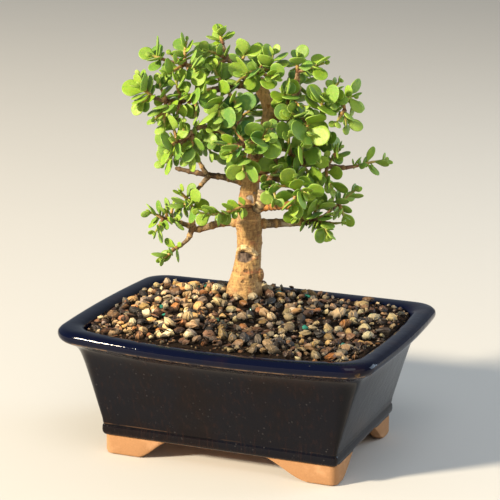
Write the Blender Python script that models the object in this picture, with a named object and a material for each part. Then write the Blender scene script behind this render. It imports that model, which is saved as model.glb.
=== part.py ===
"""Dwarf jade bonsai in a glazed, footed pot: every physical piece as its own closed solid.

Sizes are in millimetres and become metres where a mesh is made. The pot stands on z = 0 with its long
side along X. The tree has a frame of its own, turned about its foot: its X runs along the flat face of
the crown, its Y into the depth of the crown, and its Z is the height over the table.
"""

import math
import random

import bmesh
import bpy
import numpy as np

MM = 0.001
GAP = 0.3                      # clearance between pieces that touch

# Pot, from the outline of its rim
RIM_HALF = (99.1, 73.1)        # half length and half width at the rim's corners
RIM_BOW = (3.4, 7.6)           # how far the short and the long sides bow outwards
RIM_SAG = 1.4                  # how far the rim dips at the middle of the long sides
RIM_CORNER = 13.0
BASE_CORNER = 3.0
BASE_Z = 12.6                  # underside of the pot's floor, and the height of its feet
FLOOR_Z = 22.0
LIP_Z = 77.0
WALL_ROWS = (                  # height and inset of the outer wall, from the underside up to the lip
    (12.6, 27.2), (13.4, 26.5), (19.1, 26.5), (19.8, 27.0), (20.8, 27.0), (23.4, 26.4),
    (60.7, 13.6), (67.2, 10.8), (70.9, 8.0), (74.0, 3.4), (76.6, 0.6),
)
LIP_ROWS = ((78.4, 0.0), (80.6, 0.4), (82.0, 1.7), (82.6, 4.0), (82.3, 8.0), (81.4, 11.2))
INNER_ROWS = ((79.8, 12.2), (70.0, 15.6), (60.0, 21.0), (26.0, 33.2), (22.0, 36.5))
CORNER_STEPS = 3
LONG_STEPS = 5
SHORT_STEPS = 3
SAG_START = 60.0               # the dip of the long sides begins at this height
FOOT_HALF = (75.6, 51.8)
FOOT_WALL = 8.0
FOOT_ENDS = (                  # flat length of a foot and length of the cove beside it, at both ends
    ((22.0, 24.0), (18.5, 35.0)),   # of the long sides, left and right
    ((11.5, 25.0), (11.5, 25.0)),   # of the short sides, front and back
)
COVE_POWER = 1.6               # a cove rises as this power of a quarter wave of sine
COVE_STEPS = 8
DRAIN_X = 38.0
DRAIN_RADIUS = 7.0
DRAIN_SIDES = 20

# Drain screens and their wire clips
SCREEN_SIZE = 30.0
SCREEN_THICK = 1.0
SCREEN_HOLES = 3               # square holes along each side
SCREEN_HOLE = 5.0
SCREEN_PITCH = 7.5
WIRE_RADIUS = 0.6
CLIP_HALF = 6.0
CLIP_FOOT = 5.0

# Soil and gravel
SOIL_TOP = 78.0
SOIL_INSET = 13.3              # of the soil's top edge, from the rim
SOIL_GAP = 0.35                # clearance to the pot's slanted wall
GRAVEL_INSET = 13.6
GRAVEL_EDGE = 80.6             # top of the gravel along the pot's wall
GRAVEL_BEVEL = 1.0             # its outermost stones lie this much lower
GRAVEL_RISE = 4.4              # height of the mound at the trunk over the edge
GRAVEL_BUMP = 0.9
GRAVEL_RINGS = (1.0, 0.985, 0.86, 0.72, 0.57, 0.42, 0.27)   # size of each ring round the trunk

# Tree: the place of its foot in the pot and the turn of its frame
TREE_FOOT = (-16.0, 32.0)
TREE_TURN = math.radians(21.8)
CROWN_BACK = 79.0              # the crown stays in front of this plane, inside the pot's width
CROWN_FLOOR = 90.0             # leaves stay above the gravel

TRUNK = (                      # x, y, z and radius up the trunk
    (0, 0, 68, 8.0), (-1.5, 0, 76, 12.6), (-1.5, 0, 84, 12.0), (-1, 0, 90, 11.0), (0, 0, 98, 9.4),
    (1, 0, 107, 8.3),
    (2, 0, 118, 7.6), (2, 0, 131, 8.0), (2, 0, 141, 7.2), (2, 0, 152, 6.2), (3, 1, 163, 5.4),
    (5, 1, 173, 4.9), (8, 2, 183, 4.5), (12, 3, 193, 4.3), (14, 3, 203, 4.3), (12, 4, 210, 4.1),
    (9, 4, 217, 3.9), (7, 5, 223, 3.5),
)
ROOT_COUNT = 5
ROOT_HEIGHT = 74.0
ROOT_ROUTE = (                 # distance from the trunk's axis, depth under its start, and radius
    (3.0, 0.0, 4.2), (11.0, 2.0, 3.4), (18.2, 8.0, 2.4), (26.0, 16.0, 1.3),
)
STUBS = (                      # sawn stubs: two ends and two radii
    ((6, -3, 142), (9, -8, 147), (10, -9, 155), 3.0, 2.6),
    ((4, -2, 143), (22, -12, 147), (34, -16, 147), 3.0, 2.4),
)
SWELLINGS = (                  # centre and radii of the scar's callus and of the knot
    ((-0.5, -6.4, 116.6), (6.2, 3.0, 2.6)),
    ((7.6, -3, 100), (3.8, 3.8, 3.9)),
    ((-2.4, -1, 131), (4.4, 4.4, 4.6)),
)
SCAR = ((-2.4, -8.4, 112), (5.2, 2.8, 3.7))

# Limbs: route in the tree's frame, first and last radius. Later routes of a limb fork from it.
LIMBS = {
    "limb_left_high": (
        (((9, 4, 217), (-4, 0, 220), (-13, -4, 219), (-29, -8, 215), (-41, -10, 211), (-50, -12, 212),
          (-57, -14, 214)), 2.7, 1.1),
        (((-26, -7, 216), (-30, -4, 222), (-35, 0, 229), (-39, 2, 233), (-46, 4, 233),
          (-52, 4, 235)), 1.6, 1.0),
    ),
    "limb_leader": (
        (((8, 5, 221), (2, 6, 221), (-7, 10, 227), (-12, 12, 235), (-15, 14, 243)), 2.0, 0.9),
    ),
    "limb_crown_right": (
        (((13, 3, 206), (24, 2, 209), (31, 0, 215), (31, 0, 222), (31, 0, 228)), 2.8, 1.3),
    ),
    "limb_right_upper": (
        (((14, 3, 201), (28, 0, 199), (43, -4, 199), (50, -6, 209), (58, -6, 213)), 2.6, 1.0),
    ),
    "limb_right_high": (
        (((5, 2, 165), (18, 0, 170), (28, 0, 172), (44, 2, 170), (54, 4, 168), (62, 6, 167)), 4.0, 1.2),
    ),
    "limb_right_low": (
        (((4, 0, 132), (14, 2, 132), (25, 4, 132), (41, 8, 132), (47, 9, 133)), 3.1, 2.0),
    ),
    "limb_front_right": (
        (((4, 0, 161), (14, -8, 163), (24, -14, 162), (31, -18, 158)), 2.2, 1.2),
    ),
    "limb_front_upper": (
        (((5, 1, 171), (5, -6, 178), (3, -12, 184), (-1, -20, 187)), 2.4, 1.3),
    ),
    "limb_left_upper": (
        (((5, 1, 180), (-9, -8, 187), (-20, -12, 194), (-28, -14, 196), (-36, -16, 191),
          (-42, -18, 187)), 2.5, 1.0),
    ),
    "limb_left_mid": (
        (((1, 1, 158), (-13, 8, 160), (-26, 12, 161), (-44, 16, 164)), 2.5, 1.2),
        (((-25, 12, 161), (-30, 12, 170), (-31, 11, 175)), 1.4, 0.9),
        (((-23, 11, 161), (-29, 10, 154), (-33, 8, 149), (-36, 7, 145)), 1.5, 0.9),
    ),
    "limb_left_low": (
        (((0, 1, 132), (-14, 4, 132), (-30, 6, 127), (-35, 6, 129), (-46, 8, 132), (-52, 10, 133)), 3.0, 1.1),
        (((-34, 6, 128), (-36, 5, 122), (-39, 3, 119), (-43, 2, 116)), 1.7, 1.0),
        (((-33, 6, 127), (-34, 4, 134), (-34, 3, 139)), 1.8, 1.1),
    ),
    "limb_back_left": (
        (((5, 2, 175), (1, 16, 183), (-7, 29, 190)), 2.6, 1.2),
    ),
    "limb_back_right": (
        (((10, 3, 187), (17, 14, 193), (22, 23, 198)), 2.4, 1.2),
    ),
}

# Leafy shoots: what carries them, then each twig's route, its leaf pairs, its leaf length and the turn
# of its first pair in degrees.
SHOOTS = {
    "shoot_left_rosette": ("limb_left_high", (
        (((-14, -4, 219), (-16, -14, 211), (-17, -22, 203)), 4, 14.5, 20),
        (((-14, -4, 219), (-8, -13, 213), (-6, -19, 208)), 3, 13.0, 60),
        (((-14, -4, 219), (-18, -3, 226), (-20, -4, 230)), 3, 11.5, 10))),
    "shoot_right_front_rosette": ("limb_right_upper", (
        (((36, -2, 199), (37, -12, 197), (38, -20, 194)), 4, 15.0, 70),
        (((36, -2, 199), (30, -12, 203), (27, -18, 206)), 3, 12.0, 20))),
    "shoot_right_upper_rosette": ("limb_right_upper", (
        (((46, -5, 203), (46, -12, 210), (46, -17, 215)), 4, 14.5, 10),
        (((46, -5, 203), (52, 2, 215), (57, 2, 222)), 3, 8.0, 30))),
    "shoot_right_high_front": ("limb_right_high", (
        (((34, 1, 172), (34, -10, 180), (34, -18, 185)), 4, 14.5, 65),
        (((34, 1, 172), (25, -9, 180), (20, -15, 184)), 3, 13.5, 15),
        (((34, 1, 172), (41, 9, 181), (46, 15, 187)), 4, 12.5, 20))),
    "shoot_front_right_tip": ("limb_front_right", (
        (((31, -18, 158), (34, -22, 158), (37, -26, 158)), 3, 13.5, 40),
        (((31, -18, 158), (29, -21, 151), (28, -24, 149)), 3, 14.0, 15))),
    "shoot_front_upper_right": ("limb_front_upper", (
        (((3, -12, 184), (8, -20, 189), (12, -27, 191)), 4, 14.5, 75),)),
    "shoot_front_upper_left": ("limb_front_upper", (
        (((-1, -20, 187), (-6, -24, 185), (-10, -28, 182)), 3, 12.5, 50),
        (((-1, -20, 187), (-6, -19, 194), (-9, -20, 199)), 3, 12.0, 15))),
    "shoot_front_low": ("limb_front_upper", (
        (((1, -16, 186), (-1, -22, 179), (-2, -26, 171)), 4, 12.5, 25),)),
    "shoot_left_upper_tip": ("limb_left_upper", (
        (((-42, -18, 187), (-45, -20, 186), (-47, -22, 184)), 3, 14.5, 55),
        (((-42, -18, 187), (-44, -16, 194), (-45, -16, 199)), 3, 12.0, 20))),
    "shoot_left_upper_under": ("limb_left_upper", (
        (((-33, -15, 193), (-33, -18, 186), (-36, -19, 178)), 4, 13.0, 35),
        (((-33, -15, 193), (-43, -12, 181), (-50, -11, 173)), 4, 11.5, 60),
        (((-33, -15, 193), (-25, -15, 186), (-22, -16, 181)), 2, 13.5, 10))),
    "shoot_left_high_tip": ("limb_left_high", (
        (((-57, -14, 214), (-61, -16, 218), (-64, -17, 221)), 3, 14.0, 45),)),
    "shoot_left_high_outer": ("limb_left_high", (
        (((-49, -12, 212), (-52, -12, 219), (-53, -12, 223)), 2, 12.0, 25),
        (((-49, -12, 212), (-50, -15, 204), (-50, -16, 196)), 4, 11.5, 0))),
    "shoot_left_high_mid": ("limb_left_high", (
        (((-40, -10, 211), (-42, -12, 219), (-43, -13, 225)), 3, 11.0, 50),
        (((-40, -10, 211), (-42, -16, 205), (-42, -19, 201)), 3, 11.0, 15),
        (((-40, -10, 211), (-46, -5, 205), (-49, -3, 199)), 4, 11.5, 70))),
    "shoot_left_high_inner": ("limb_left_high", (
        (((-31, -9, 214), (-34, -16, 216), (-36, -20, 217)), 3, 13.0, 30),
        (((-31, -9, 214), (-31, -15, 206), (-31, -18, 201)), 3, 13.0, 60))),
    "shoot_top_left_tip": ("limb_left_high", (
        (((-52, 4, 235), (-55, 4, 236), (-58, 4, 237)), 3, 13.5, 80),)),
    "shoot_top_left_inner": ("limb_left_high", (
        (((-38, 2, 232), (-38, 2, 240), (-37, 2, 246)), 4, 10.5, 40),
        (((-38, 2, 232), (-33, -6, 232), (-31, -13, 231)), 4, 12.5, 10),
        (((-38, 2, 232), (-45, -6, 229), (-49, -10, 228)), 3, 11.5, 45))),
    "shoot_top_tip": ("limb_leader", (
        (((-15, 14, 243), (-16, 14, 247), (-16, 14, 251)), 3, 10.5, 5),
        (((-15, 14, 243), (-20, 20, 242), (-26, 24, 240)), 3, 11.5, 30))),
    "shoot_top_right_of_leader": ("limb_leader", (
        (((-8, 10, 228), (-3, 9, 234), (0, 8, 240)), 4, 11.5, 30),
        (((-8, 10, 228), (2, 19, 231), (8, 25, 233)), 4, 12.0, 0))),
    "shoot_top_left_of_leader": ("limb_leader", (
        (((-12, 12, 234), (-19, 8, 238), (-24, 5, 240)), 3, 12.5, 25),
        (((-12, 12, 234), (-20, 1, 231), (-24, -3, 230)), 3, 12.5, 70),
        (((-12, 12, 234), (-21, 20, 228), (-29, 25, 224)), 4, 12.5, 15))),
    "shoot_crown_centre": ("trunk", (
        (((7, 5, 220), (7, 4, 227), (14, 0, 231), (16, -2, 239)), 5, 12.0, 35),
        (((7, 4, 227), (3, -3, 228), (-1, -11, 228)), 4, 14.0, 20),
        (((7, 4, 227), (13, -8, 227), (17, -14, 227)), 3, 12.0, 50))),
    "shoot_crown_right_up": ("limb_crown_right", (
        (((31, 0, 228), (31, -1, 232), (31, -2, 237)), 4, 12.0, 10),
        (((31, 0, 228), (39, -2, 231), (47, -4, 234)), 4, 12.0, 50))),
    "shoot_crown_front": ("limb_crown_right", (
        (((27, 1, 211), (24, -8, 215), (22, -15, 218)), 4, 13.5, 15),
        (((27, 1, 211), (32, -9, 209), (36, -14, 209)), 3, 12.5, 60))),
    "shoot_crown_back": ("limb_crown_right", (
        (((30, 1, 216), (34, 11, 221), (37, 19, 224)), 5, 12.5, 35),)),
    "shoot_right_upper_tip": ("limb_right_upper", (
        (((58, -6, 213), (61, -6, 214), (65, -6, 214)), 3, 12.0, 60),
        (((58, -6, 213), (60, -9, 206), (61, -10, 197)), 4, 11.5, 10))),
    "shoot_right_high_tip": ("limb_right_high", (
        (((62, 6, 167), (70, 8, 168), (78, 9, 170), (86, 10, 171)), 4, 10.5, 90),)),
    "shoot_right_high_outer": ("limb_right_high", (
        (((50, 3, 169), (54, 1, 175), (58, 0, 180)), 3, 10.5, 45),
        (((50, 3, 169), (50, -3, 163), (53, -4, 156)), 4, 11.5, 20))),
    "shoot_front_right_inner": ("limb_front_right", (
        (((14, -8, 163), (14, -13, 160), (13, -17, 159)), 2, 8.5, 30),
        (((14, -8, 163), (18, -14, 168), (20, -18, 172)), 3, 13.5, 80))),
    "shoot_right_low_tip": ("limb_right_low", (
        (((47, 9, 133), (55, 8, 141), (62, 8, 147), (68, 8, 152)), 5, 9.5, 60),)),
    "shoot_right_low_rosette": ("limb_right_low", (
        (((41, 8, 132), (43, 0, 140), (45, -6, 146)), 4, 14.0, 20),
        (((41, 8, 132), (47, 0, 134), (51, -4, 127)), 4, 12.5, 65),
        (((41, 8, 132), (34, -2, 137), (31, -8, 138)), 3, 10.0, 40))),
    "shoot_left_mid_up": ("limb_left_mid", (
        (((-31, 11, 175), (-32, 10, 180), (-35, 8, 186)), 4, 11.5, 30),
        (((-31, 11, 175), (-33, 20, 179), (-36, 27, 184)), 4, 12.0, 60))),
    "shoot_left_mid_down": ("limb_left_mid", (
        (((-36, 7, 145), (-38, 6, 143), (-41, 5, 141)), 3, 12.0, 45),)),
    "shoot_left_front": ("trunk", (
        (((5, -2, 144), (-2, -13, 146), (-10, -17, 144), (-20, -22, 143), (-28, -26, 145)), 5, 9.5, 75),)),
    "shoot_left_low_tip": ("limb_left_low", (
        (((-52, 10, 133), (-56, 10, 135), (-60, 9, 137)), 3, 11.0, 20),
        (((-52, 10, 133), (-55, 5, 129), (-57, 2, 126)), 3, 10.0, 60))),
    "shoot_left_low_up": ("limb_left_low", (
        (((-34, 3, 139), (-34, 1, 143), (-35, -3, 146)), 4, 13.0, 15),)),
    "shoot_left_low_down": ("limb_left_low", (
        (((-43, 2, 116), (-44, 1, 116), (-47, -1, 115)), 3, 10.5, 40),)),
    "shoot_back_left": ("limb_back_left", (
        (((-7, 29, 190), (-14, 37, 193), (-21, 44, 195)), 4, 13.0, 20),
        (((-7, 29, 190), (-4, 38, 197), (-2, 42, 203)), 4, 12.5, 60),
        (((-7, 29, 190), (-18, 27, 186), (-28, 27, 182)), 5, 12.0, 30))),
    "shoot_back_right": ("limb_back_right", (
        (((22, 23, 198), (27, 30, 205), (30, 33, 213)), 4, 12.5, 45),
        (((22, 23, 198), (32, 22, 194), (40, 20, 189)), 5, 12.5, 10),
        (((22, 23, 198), (17, 33, 192), (14, 37, 186)), 4, 12.0, 70))),
    "shoot_back_low": ("trunk", (
        (((2, 2, 157), (2, 16, 160), (-7, 27, 164), (-14, 34, 166)), 5, 12.0, 20),
        (((2, 16, 160), (12, 22, 160), (22, 27, 162), (28, 30, 166)), 5, 12.0, 55))),
}
TWIG_RADIUS = (0.95, 0.6)      # radius of a twig at its foot and at its tip
TWIG_SIDES = 5
TWIG_STEP = 5.5                # length of its straight runs
LIMB_SIDES = 6
LIMB_STEP = 6.0
TRUNK_SIDES = 12
ROOT_SIDES = 6
STUB_SIDES = 8
COLLAR = 1.0                   # thickness of the ring of bark round a limb where twigs fork from it

# Leaf: a spoon shape, widest past its middle, thick at the midrib and sharp at the margin
LEAF_WIDTH = 0.86              # width over length
LEAF_THICK = 1.4
LEAF_GROWTH = 1.1              # how full the leaves have grown, over the lengths of the shoots' table
LEAF_STEM = 0.16               # width of the leaf's foot over its full width
LEAF_CUP = 0.10                # how far the tip rises, over the length
LEAF_FIRST = 0.36              # share of a twig's length at its first pair of leaves
LEAF_SWELL = 0.14              # how much longer the leaves are halfway along the twig
LEAF_LAST = 0.66               # size of the youngest pair
LEAF_TILT = (72.0, 38.0)       # lean of the first and of the last pair from the twig, in degrees
LEAF_TURN = 0.8                # most that a leaf twists to face the light, in radians
LEAF_TRIES = 16                # places that a leaf may try
LEAF_SPACE = 1.9               # least distance between the middle surfaces of two leaves
WOOD_SPACE = 1.1               # least distance of a leaf from bark
TWIG_SPACE = 1.9               # least distance of a leaf from a twig's middle line
LEAF_REACH = 22.0              # leaves whose middles are further apart can't meet
WOOD_STEP = 1.5                # spacing of the points that stand for wood and twigs
SAMPLE_STEP = 1.2              # spacing of the points that stand for a leaf
LIGHT = (-0.28, -0.64, 0.36)   # where the light comes from, in the tree's frame
CROWN_CENTRE = (4, 4, 188)
SEED = 11

NAVY = ("navy_glaze", (0.012, 0.020, 0.075), 0.12)
SOIL = ("dark_soil", (0.030, 0.020, 0.014), 0.95)
STONE = ("mixed_gravel", (0.42, 0.30, 0.18), 0.8)
MESH_PLASTIC = ("black_mesh_plastic", (0.02, 0.02, 0.02), 0.5)
WIRE = ("aluminium_wire", (0.60, 0.60, 0.62), 0.35)
BARK = ("pale_bark", (0.48, 0.31, 0.15), 0.85)
TWIG_BARK = ("limb_bark", (0.26, 0.17, 0.10), 0.8)
LEAF = ("jade_leaf", (0.16, 0.33, 0.05), 0.3)


# ---------------------------------------------------------------- meshes and booleans

def material(finish):
    """A Principled material with the finish's name, colour and roughness."""
    name, colour, roughness = finish
    made = bpy.data.materials.get(name)
    if made is None:
        made = bpy.data.materials.new(name)
        made.use_nodes = True
        shader = made.node_tree.nodes["Principled BSDF"]
        shader.inputs["Base Color"].default_value = (*colour, 1.0)
        shader.inputs["Roughness"].default_value = roughness
        shader.inputs["Metallic"].default_value = 1.0 if finish is WIRE else 0.0
    return made


def add_object(name, points, faces, finish):
    """A mesh object from points in millimetres."""
    mesh = bpy.data.meshes.new(name)
    mesh.from_pydata([tuple(p) for p in np.asarray(points, float) * MM], [], [tuple(f) for f in faces])
    mesh.materials.append(material(finish))
    made = bpy.data.objects.new(name, mesh)
    bpy.context.scene.collection.objects.link(made)
    return made


def combine(target, tool, operation):
    """Apply one exact Boolean to target and remove its tool."""
    cut = target.modifiers.new("combine", "BOOLEAN")
    cut.operation = operation
    cut.solver = "EXACT"
    cut.object = tool
    bpy.context.view_layer.update()
    result = bpy.data.meshes.new_from_object(target.evaluated_get(bpy.context.evaluated_depsgraph_get()))
    target.modifiers.clear()
    target.data = result
    bpy.data.objects.remove(tool)


def loft(rings, name, finish, split=False):
    """A closed solid through rings that have equally many points, with flat ends.

    Rings run anticlockwise round the way they are stacked. With split, each cell is cut from its lower
    near corner to its upper far one, so that walls which run alongside each other stay parallel.
    """
    count = len(rings[0])
    points = np.concatenate(rings)
    faces = []
    for level in range(len(rings) - 1):
        low = level * count
        rising = rings[level + 1][:, 2].sum() > rings[level][:, 2].sum()
        for i in range(count):
            a, b = low + i, low + (i + 1) % count
            c, d = b + count, a + count
            if not split:
                faces.append((a, b, c, d))
            else:
                faces.extend([(a, b, c), (a, c, d)] if rising else [(a, b, d), (b, c, d)])
    faces.append(tuple(range(count))[::-1])
    top = (len(rings) - 1) * count
    faces.append(tuple(range(top, top + count)))
    return add_object(name, points, faces, finish)


def unit(vector):
    """The vector at length 1."""
    return vector / np.linalg.norm(vector)


def smooth_route(points, spacing):
    """Catmull-Rom curve through the points, read about every spacing."""
    points = np.asarray(points, float)
    ends = np.vstack([2 * points[0] - points[1], points, 2 * points[-1] - points[-2]])
    curve = []
    for i in range(1, len(ends) - 2):
        a, b, c, d = ends[i - 1:i + 3]
        steps = max(1, round(np.linalg.norm(c - b) / spacing))
        for t in np.arange(steps) / steps:
            curve.append(0.5 * (2 * b + (c - a) * t + (2 * a - 5 * b + 4 * c - d) * t ** 2
                                + (3 * b - a - 3 * c + d) * t ** 3))
    curve.append(points[-1])
    return np.array(curve)


def frames(route):
    """Tangent and two cross directions at each point, carried along without twist."""
    tangents = np.gradient(route, axis=0)
    tangents /= np.linalg.norm(tangents, axis=1)[:, None]
    start = np.array((0.0, 1.0, 0.0)) if abs(tangents[0, 1]) < 0.9 else np.array((1.0, 0.0, 0.0))
    side = unit(np.cross(start, tangents[0]))
    sides = []
    for tangent in tangents:
        side = unit(side - tangent * (side @ tangent))
        sides.append(side)
    sides = np.array(sides)
    return tangents, sides, np.cross(tangents, sides)


def tube(route, radii, sides_count, name, finish):
    """A round stem along a route, in the tree's frame, with flat sawn ends."""
    tangents, sides, ups = frames(route)
    turn = np.arange(sides_count) * 2 * math.pi / sides_count
    rings = []
    for point, side, up, radius in zip(route, sides, ups, radii):
        ring = point + radius * (np.cos(turn)[:, None] * side + np.sin(turn)[:, None] * up)
        rings.append(tree_to_world(ring))
    return loft(rings, name, finish)


def ball(centre, radii, name, finish, steps=2):
    """A low ellipsoid, in the tree's frame."""
    shape = bmesh.new()
    bmesh.ops.create_icosphere(shape, subdivisions=steps, radius=1.0)
    points = np.array([v.co for v in shape.verts]) * np.array(radii) + np.array(centre, float)
    faces = [[v.index for v in f.verts] for f in shape.faces]
    shape.free()
    return add_object(name, tree_to_world(points), faces, finish)


def box(low, high, name, finish):
    """A plain box between two corners, in the pot's frame."""
    corners = [(x, y, z) for z in (low[2], high[2])
               for x, y in ((low[0], low[1]), (high[0], low[1]), (high[0], high[1]), (low[0], high[1]))]
    return loft([np.array(corners[:4]), np.array(corners[4:])], name, finish)


def tree_to_world(points):
    """From the tree's frame to the pot's."""
    points = np.atleast_2d(points)
    c, s = math.cos(TREE_TURN), math.sin(TREE_TURN)
    x = TREE_FOOT[0] + c * points[:, 0] - s * points[:, 1]
    y = TREE_FOOT[1] + s * points[:, 0] + c * points[:, 1]
    return np.stack([x, y, points[:, 2]], axis=1)


# ---------------------------------------------------------------- pot

def bowed_outline(half, bow, corner):
    """Points round a rectangle with rounded corners whose sides bow outwards, anticlockwise."""
    points = []
    centres = ((half[0] - corner, half[1] - corner), (corner - half[0], half[1] - corner),
               (corner - half[0], corner - half[1]), (half[0] - corner, corner - half[1]))
    for quarter, centre in enumerate(centres):
        for step in range(CORNER_STEPS + 1):
            turn = math.pi / 2 * (quarter + step / CORNER_STEPS)
            points.append((centre[0] + corner * math.cos(turn), centre[1] + corner * math.sin(turn)))
        following = centres[(quarter + 1) % 4]
        turn = math.pi / 2 * (quarter + 1)
        start = np.array(points[-1])
        end = np.array((following[0] + corner * math.cos(turn), following[1] + corner * math.sin(turn)))
        steps = LONG_STEPS if quarter % 2 == 0 else SHORT_STEPS
        points.extend(start + (end - start) * i / steps for i in range(1, steps))
    points = np.array(points)
    share = 1 - (points / np.array(half)) ** 2
    across = share[:, ::-1]
    return points * (1 + np.array(bow) / np.array(half) * across)


def pot_ring(height, inset):
    """The pot's outline at a height, moved in from the rim, with the bow and the dip it has there."""
    rise = min(max((height - FLOOR_Z) / (LIP_Z - FLOOR_Z), 0.0), 1.0)
    corner = max(BASE_CORNER + (RIM_CORNER - BASE_CORNER) * rise - inset * 0.1, 2.0)
    half = (RIM_HALF[0] - inset + RIM_BOW[0] * (1 - rise), RIM_HALF[1] - inset + RIM_BOW[1] * (1 - rise))
    ring = bowed_outline(half, (RIM_BOW[0] * rise, RIM_BOW[1] * rise), corner)
    middle = 1 - np.minimum(np.abs(ring[:, 0]) / half[0], 1) ** 2
    long_side = np.clip(np.abs(ring[:, 1]) / half[1], 0, 1) ** 4
    dip = RIM_SAG * middle * long_side * max(0.0, (height - SAG_START) / (LIP_Z - SAG_START))
    return np.column_stack([ring, height - dip])


def make_pot():
    """Body with its cavity, the footed ring under it and the drain holes, one fired piece."""
    rows = WALL_ROWS + LIP_ROWS + INNER_ROWS
    pot = loft([pot_ring(height, inset) for height, inset in rows], "pot", NAVY, split=True)
    combine(pot, make_feet(), "UNION")
    for side in (-1, 1):
        turn = np.arange(DRAIN_SIDES) * 2 * math.pi / DRAIN_SIDES
        circle = np.column_stack([side * DRAIN_X + DRAIN_RADIUS * np.cos(turn), DRAIN_RADIUS * np.sin(turn)])
        ends = [np.column_stack([circle, np.full(DRAIN_SIDES, z)]) for z in (BASE_Z - 4, FLOOR_Z + 4)]
        combine(pot, loft(ends, "drain_cutter", NAVY), "DIFFERENCE")
    return pot


def make_feet():
    """A wall under the pot's edge, cut away by a cove in the middle of each side."""
    x, y = FOOT_HALF
    inner = (x - FOOT_WALL, y - FOOT_WALL)
    feet = box((-x, -y, 0), (x, y, BASE_Z + 1), "feet", NAVY)
    hollow = box((-inner[0], -inner[1], -5), (inner[0], inner[1], BASE_Z + 5), "ring_cutter", NAVY)
    combine(feet, hollow, "DIFFERENCE")
    share = np.linspace(0, 1, COVE_STEPS + 1)
    rise = BASE_Z * np.sin(math.pi / 2 * share) ** COVE_POWER
    for axis in (0, 1):
        low, high = (FOOT_HALF[axis] - flat - cove * share for flat, cove in FOOT_ENDS[axis])
        outline = [(high[0], -5.0), *zip(high, rise), *zip(-low[::-1], rise[::-1]), (-low[0], -5.0)]
        reach = FOOT_HALF[1 - axis] + 10
        ends = []
        for depth in (-reach, reach):
            ends.append(np.array([(a, depth, b) if axis == 0 else (depth, a, b) for a, b in outline]))
        if axis == 0:
            ends.reverse()
        combine(feet, loft(ends, "cove_cutter", NAVY), "DIFFERENCE")
    return feet


# ---------------------------------------------------------------- drainage, soil and gravel

def make_screen(name, centre_x):
    """A square of plastic mesh that lies over a drain hole."""
    half = SCREEN_SIZE / 2
    hole = SCREEN_HOLE / 2
    low = FLOOR_Z + GAP
    top = low + SCREEN_THICK
    screen = box((centre_x - half, -half, low), (centre_x + half, half, top), name, MESH_PLASTIC)
    for i in range(SCREEN_HOLES):
        for j in range(SCREEN_HOLES):
            x = centre_x + (i - (SCREEN_HOLES - 1) / 2) * SCREEN_PITCH
            y = (j - (SCREEN_HOLES - 1) / 2) * SCREEN_PITCH
            cutter = box((x - hole, y - hole, low - 2), (x + hole, y + hole, top + 2), "hole_cutter", WIRE)
            combine(screen, cutter, "DIFFERENCE")
    return screen


def make_clip(name, centre_x):
    """A wire staple over the screen, down through the drain hole and out under the floor."""
    top = FLOOR_Z + GAP + SCREEN_THICK + GAP + WIRE_RADIUS
    bottom = BASE_Z - GAP - WIRE_RADIUS
    half = CLIP_HALF
    route = [(-half - CLIP_FOOT, bottom), (-half, bottom), (-half, top), (half, top), (half, bottom),
             (half + CLIP_FOOT, bottom)]
    curve = bpy.data.curves.new(name, "CURVE")
    curve.dimensions = "3D"
    curve.bevel_depth = WIRE_RADIUS * MM
    curve.bevel_resolution = 1
    curve.use_fill_caps = True
    spline = curve.splines.new("POLY")
    spline.points.add(len(route) - 1)
    for point, (y, z) in zip(spline.points, route):
        point.co = (centre_x * MM, y * MM, z * MM, 1.0)
    curve.materials.append(material(WIRE))
    clip = bpy.data.objects.new(name, curve)
    bpy.context.scene.collection.objects.link(clip)
    return clip


def make_soil():
    """The pot's filling up to the gravel, with pockets for the roots and for the drain screens."""
    rows = [(FLOOR_Z + GAP, INNER_ROWS[-1][1] + SOIL_GAP)]
    rows += [(height, inset + SOIL_GAP) for height, inset in reversed(INNER_ROWS[1:-1])]
    rows.append((SOIL_TOP, SOIL_INSET))
    soil = loft([pot_ring(height, inset) for height, inset in rows], "soil", SOIL, split=True)
    combine(soil, make_trunk("pocket", GAP), "DIFFERENCE")
    half = SCREEN_SIZE / 2 + GAP
    top = FLOOR_Z + 3 * GAP + SCREEN_THICK + 2 * WIRE_RADIUS
    for side in (-1, 1):
        low = (side * DRAIN_X - half, -half, FLOOR_Z - 2)
        combine(soil, box(low, (side * DRAIN_X + half, half, top), "screen_pocket", SOIL), "DIFFERENCE")
    return soil


def make_gravel():
    """The top dressing: one closed bed, flat below, with a bumpy mound above."""
    dice = random.Random(SEED)
    edge = pot_ring(SOIL_TOP, GRAVEL_INSET)[:, :2]
    rings = [np.column_stack([edge, np.full(len(edge), SOIL_TOP + GAP)])]
    centre = np.array(TREE_FOOT)
    for share in GRAVEL_RINGS:
        ring = edge * share + centre * (1 - share)
        height = GRAVEL_EDGE - GRAVEL_BEVEL + (GRAVEL_RISE + GRAVEL_BEVEL) * (1 - share) ** 0.6
        bumps = np.array([dice.uniform(-1, 1) for _ in ring]) * GRAVEL_BUMP
        even = share in GRAVEL_RINGS[:2]
        rings.append(np.column_stack([ring, height + bumps * (0 if even else 1)]))
    gravel = loft(rings, "gravel", STONE)
    combine(gravel, make_trunk("trunk_hole", GAP), "DIFFERENCE")
    return gravel


# ---------------------------------------------------------------- trunk and limbs

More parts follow.
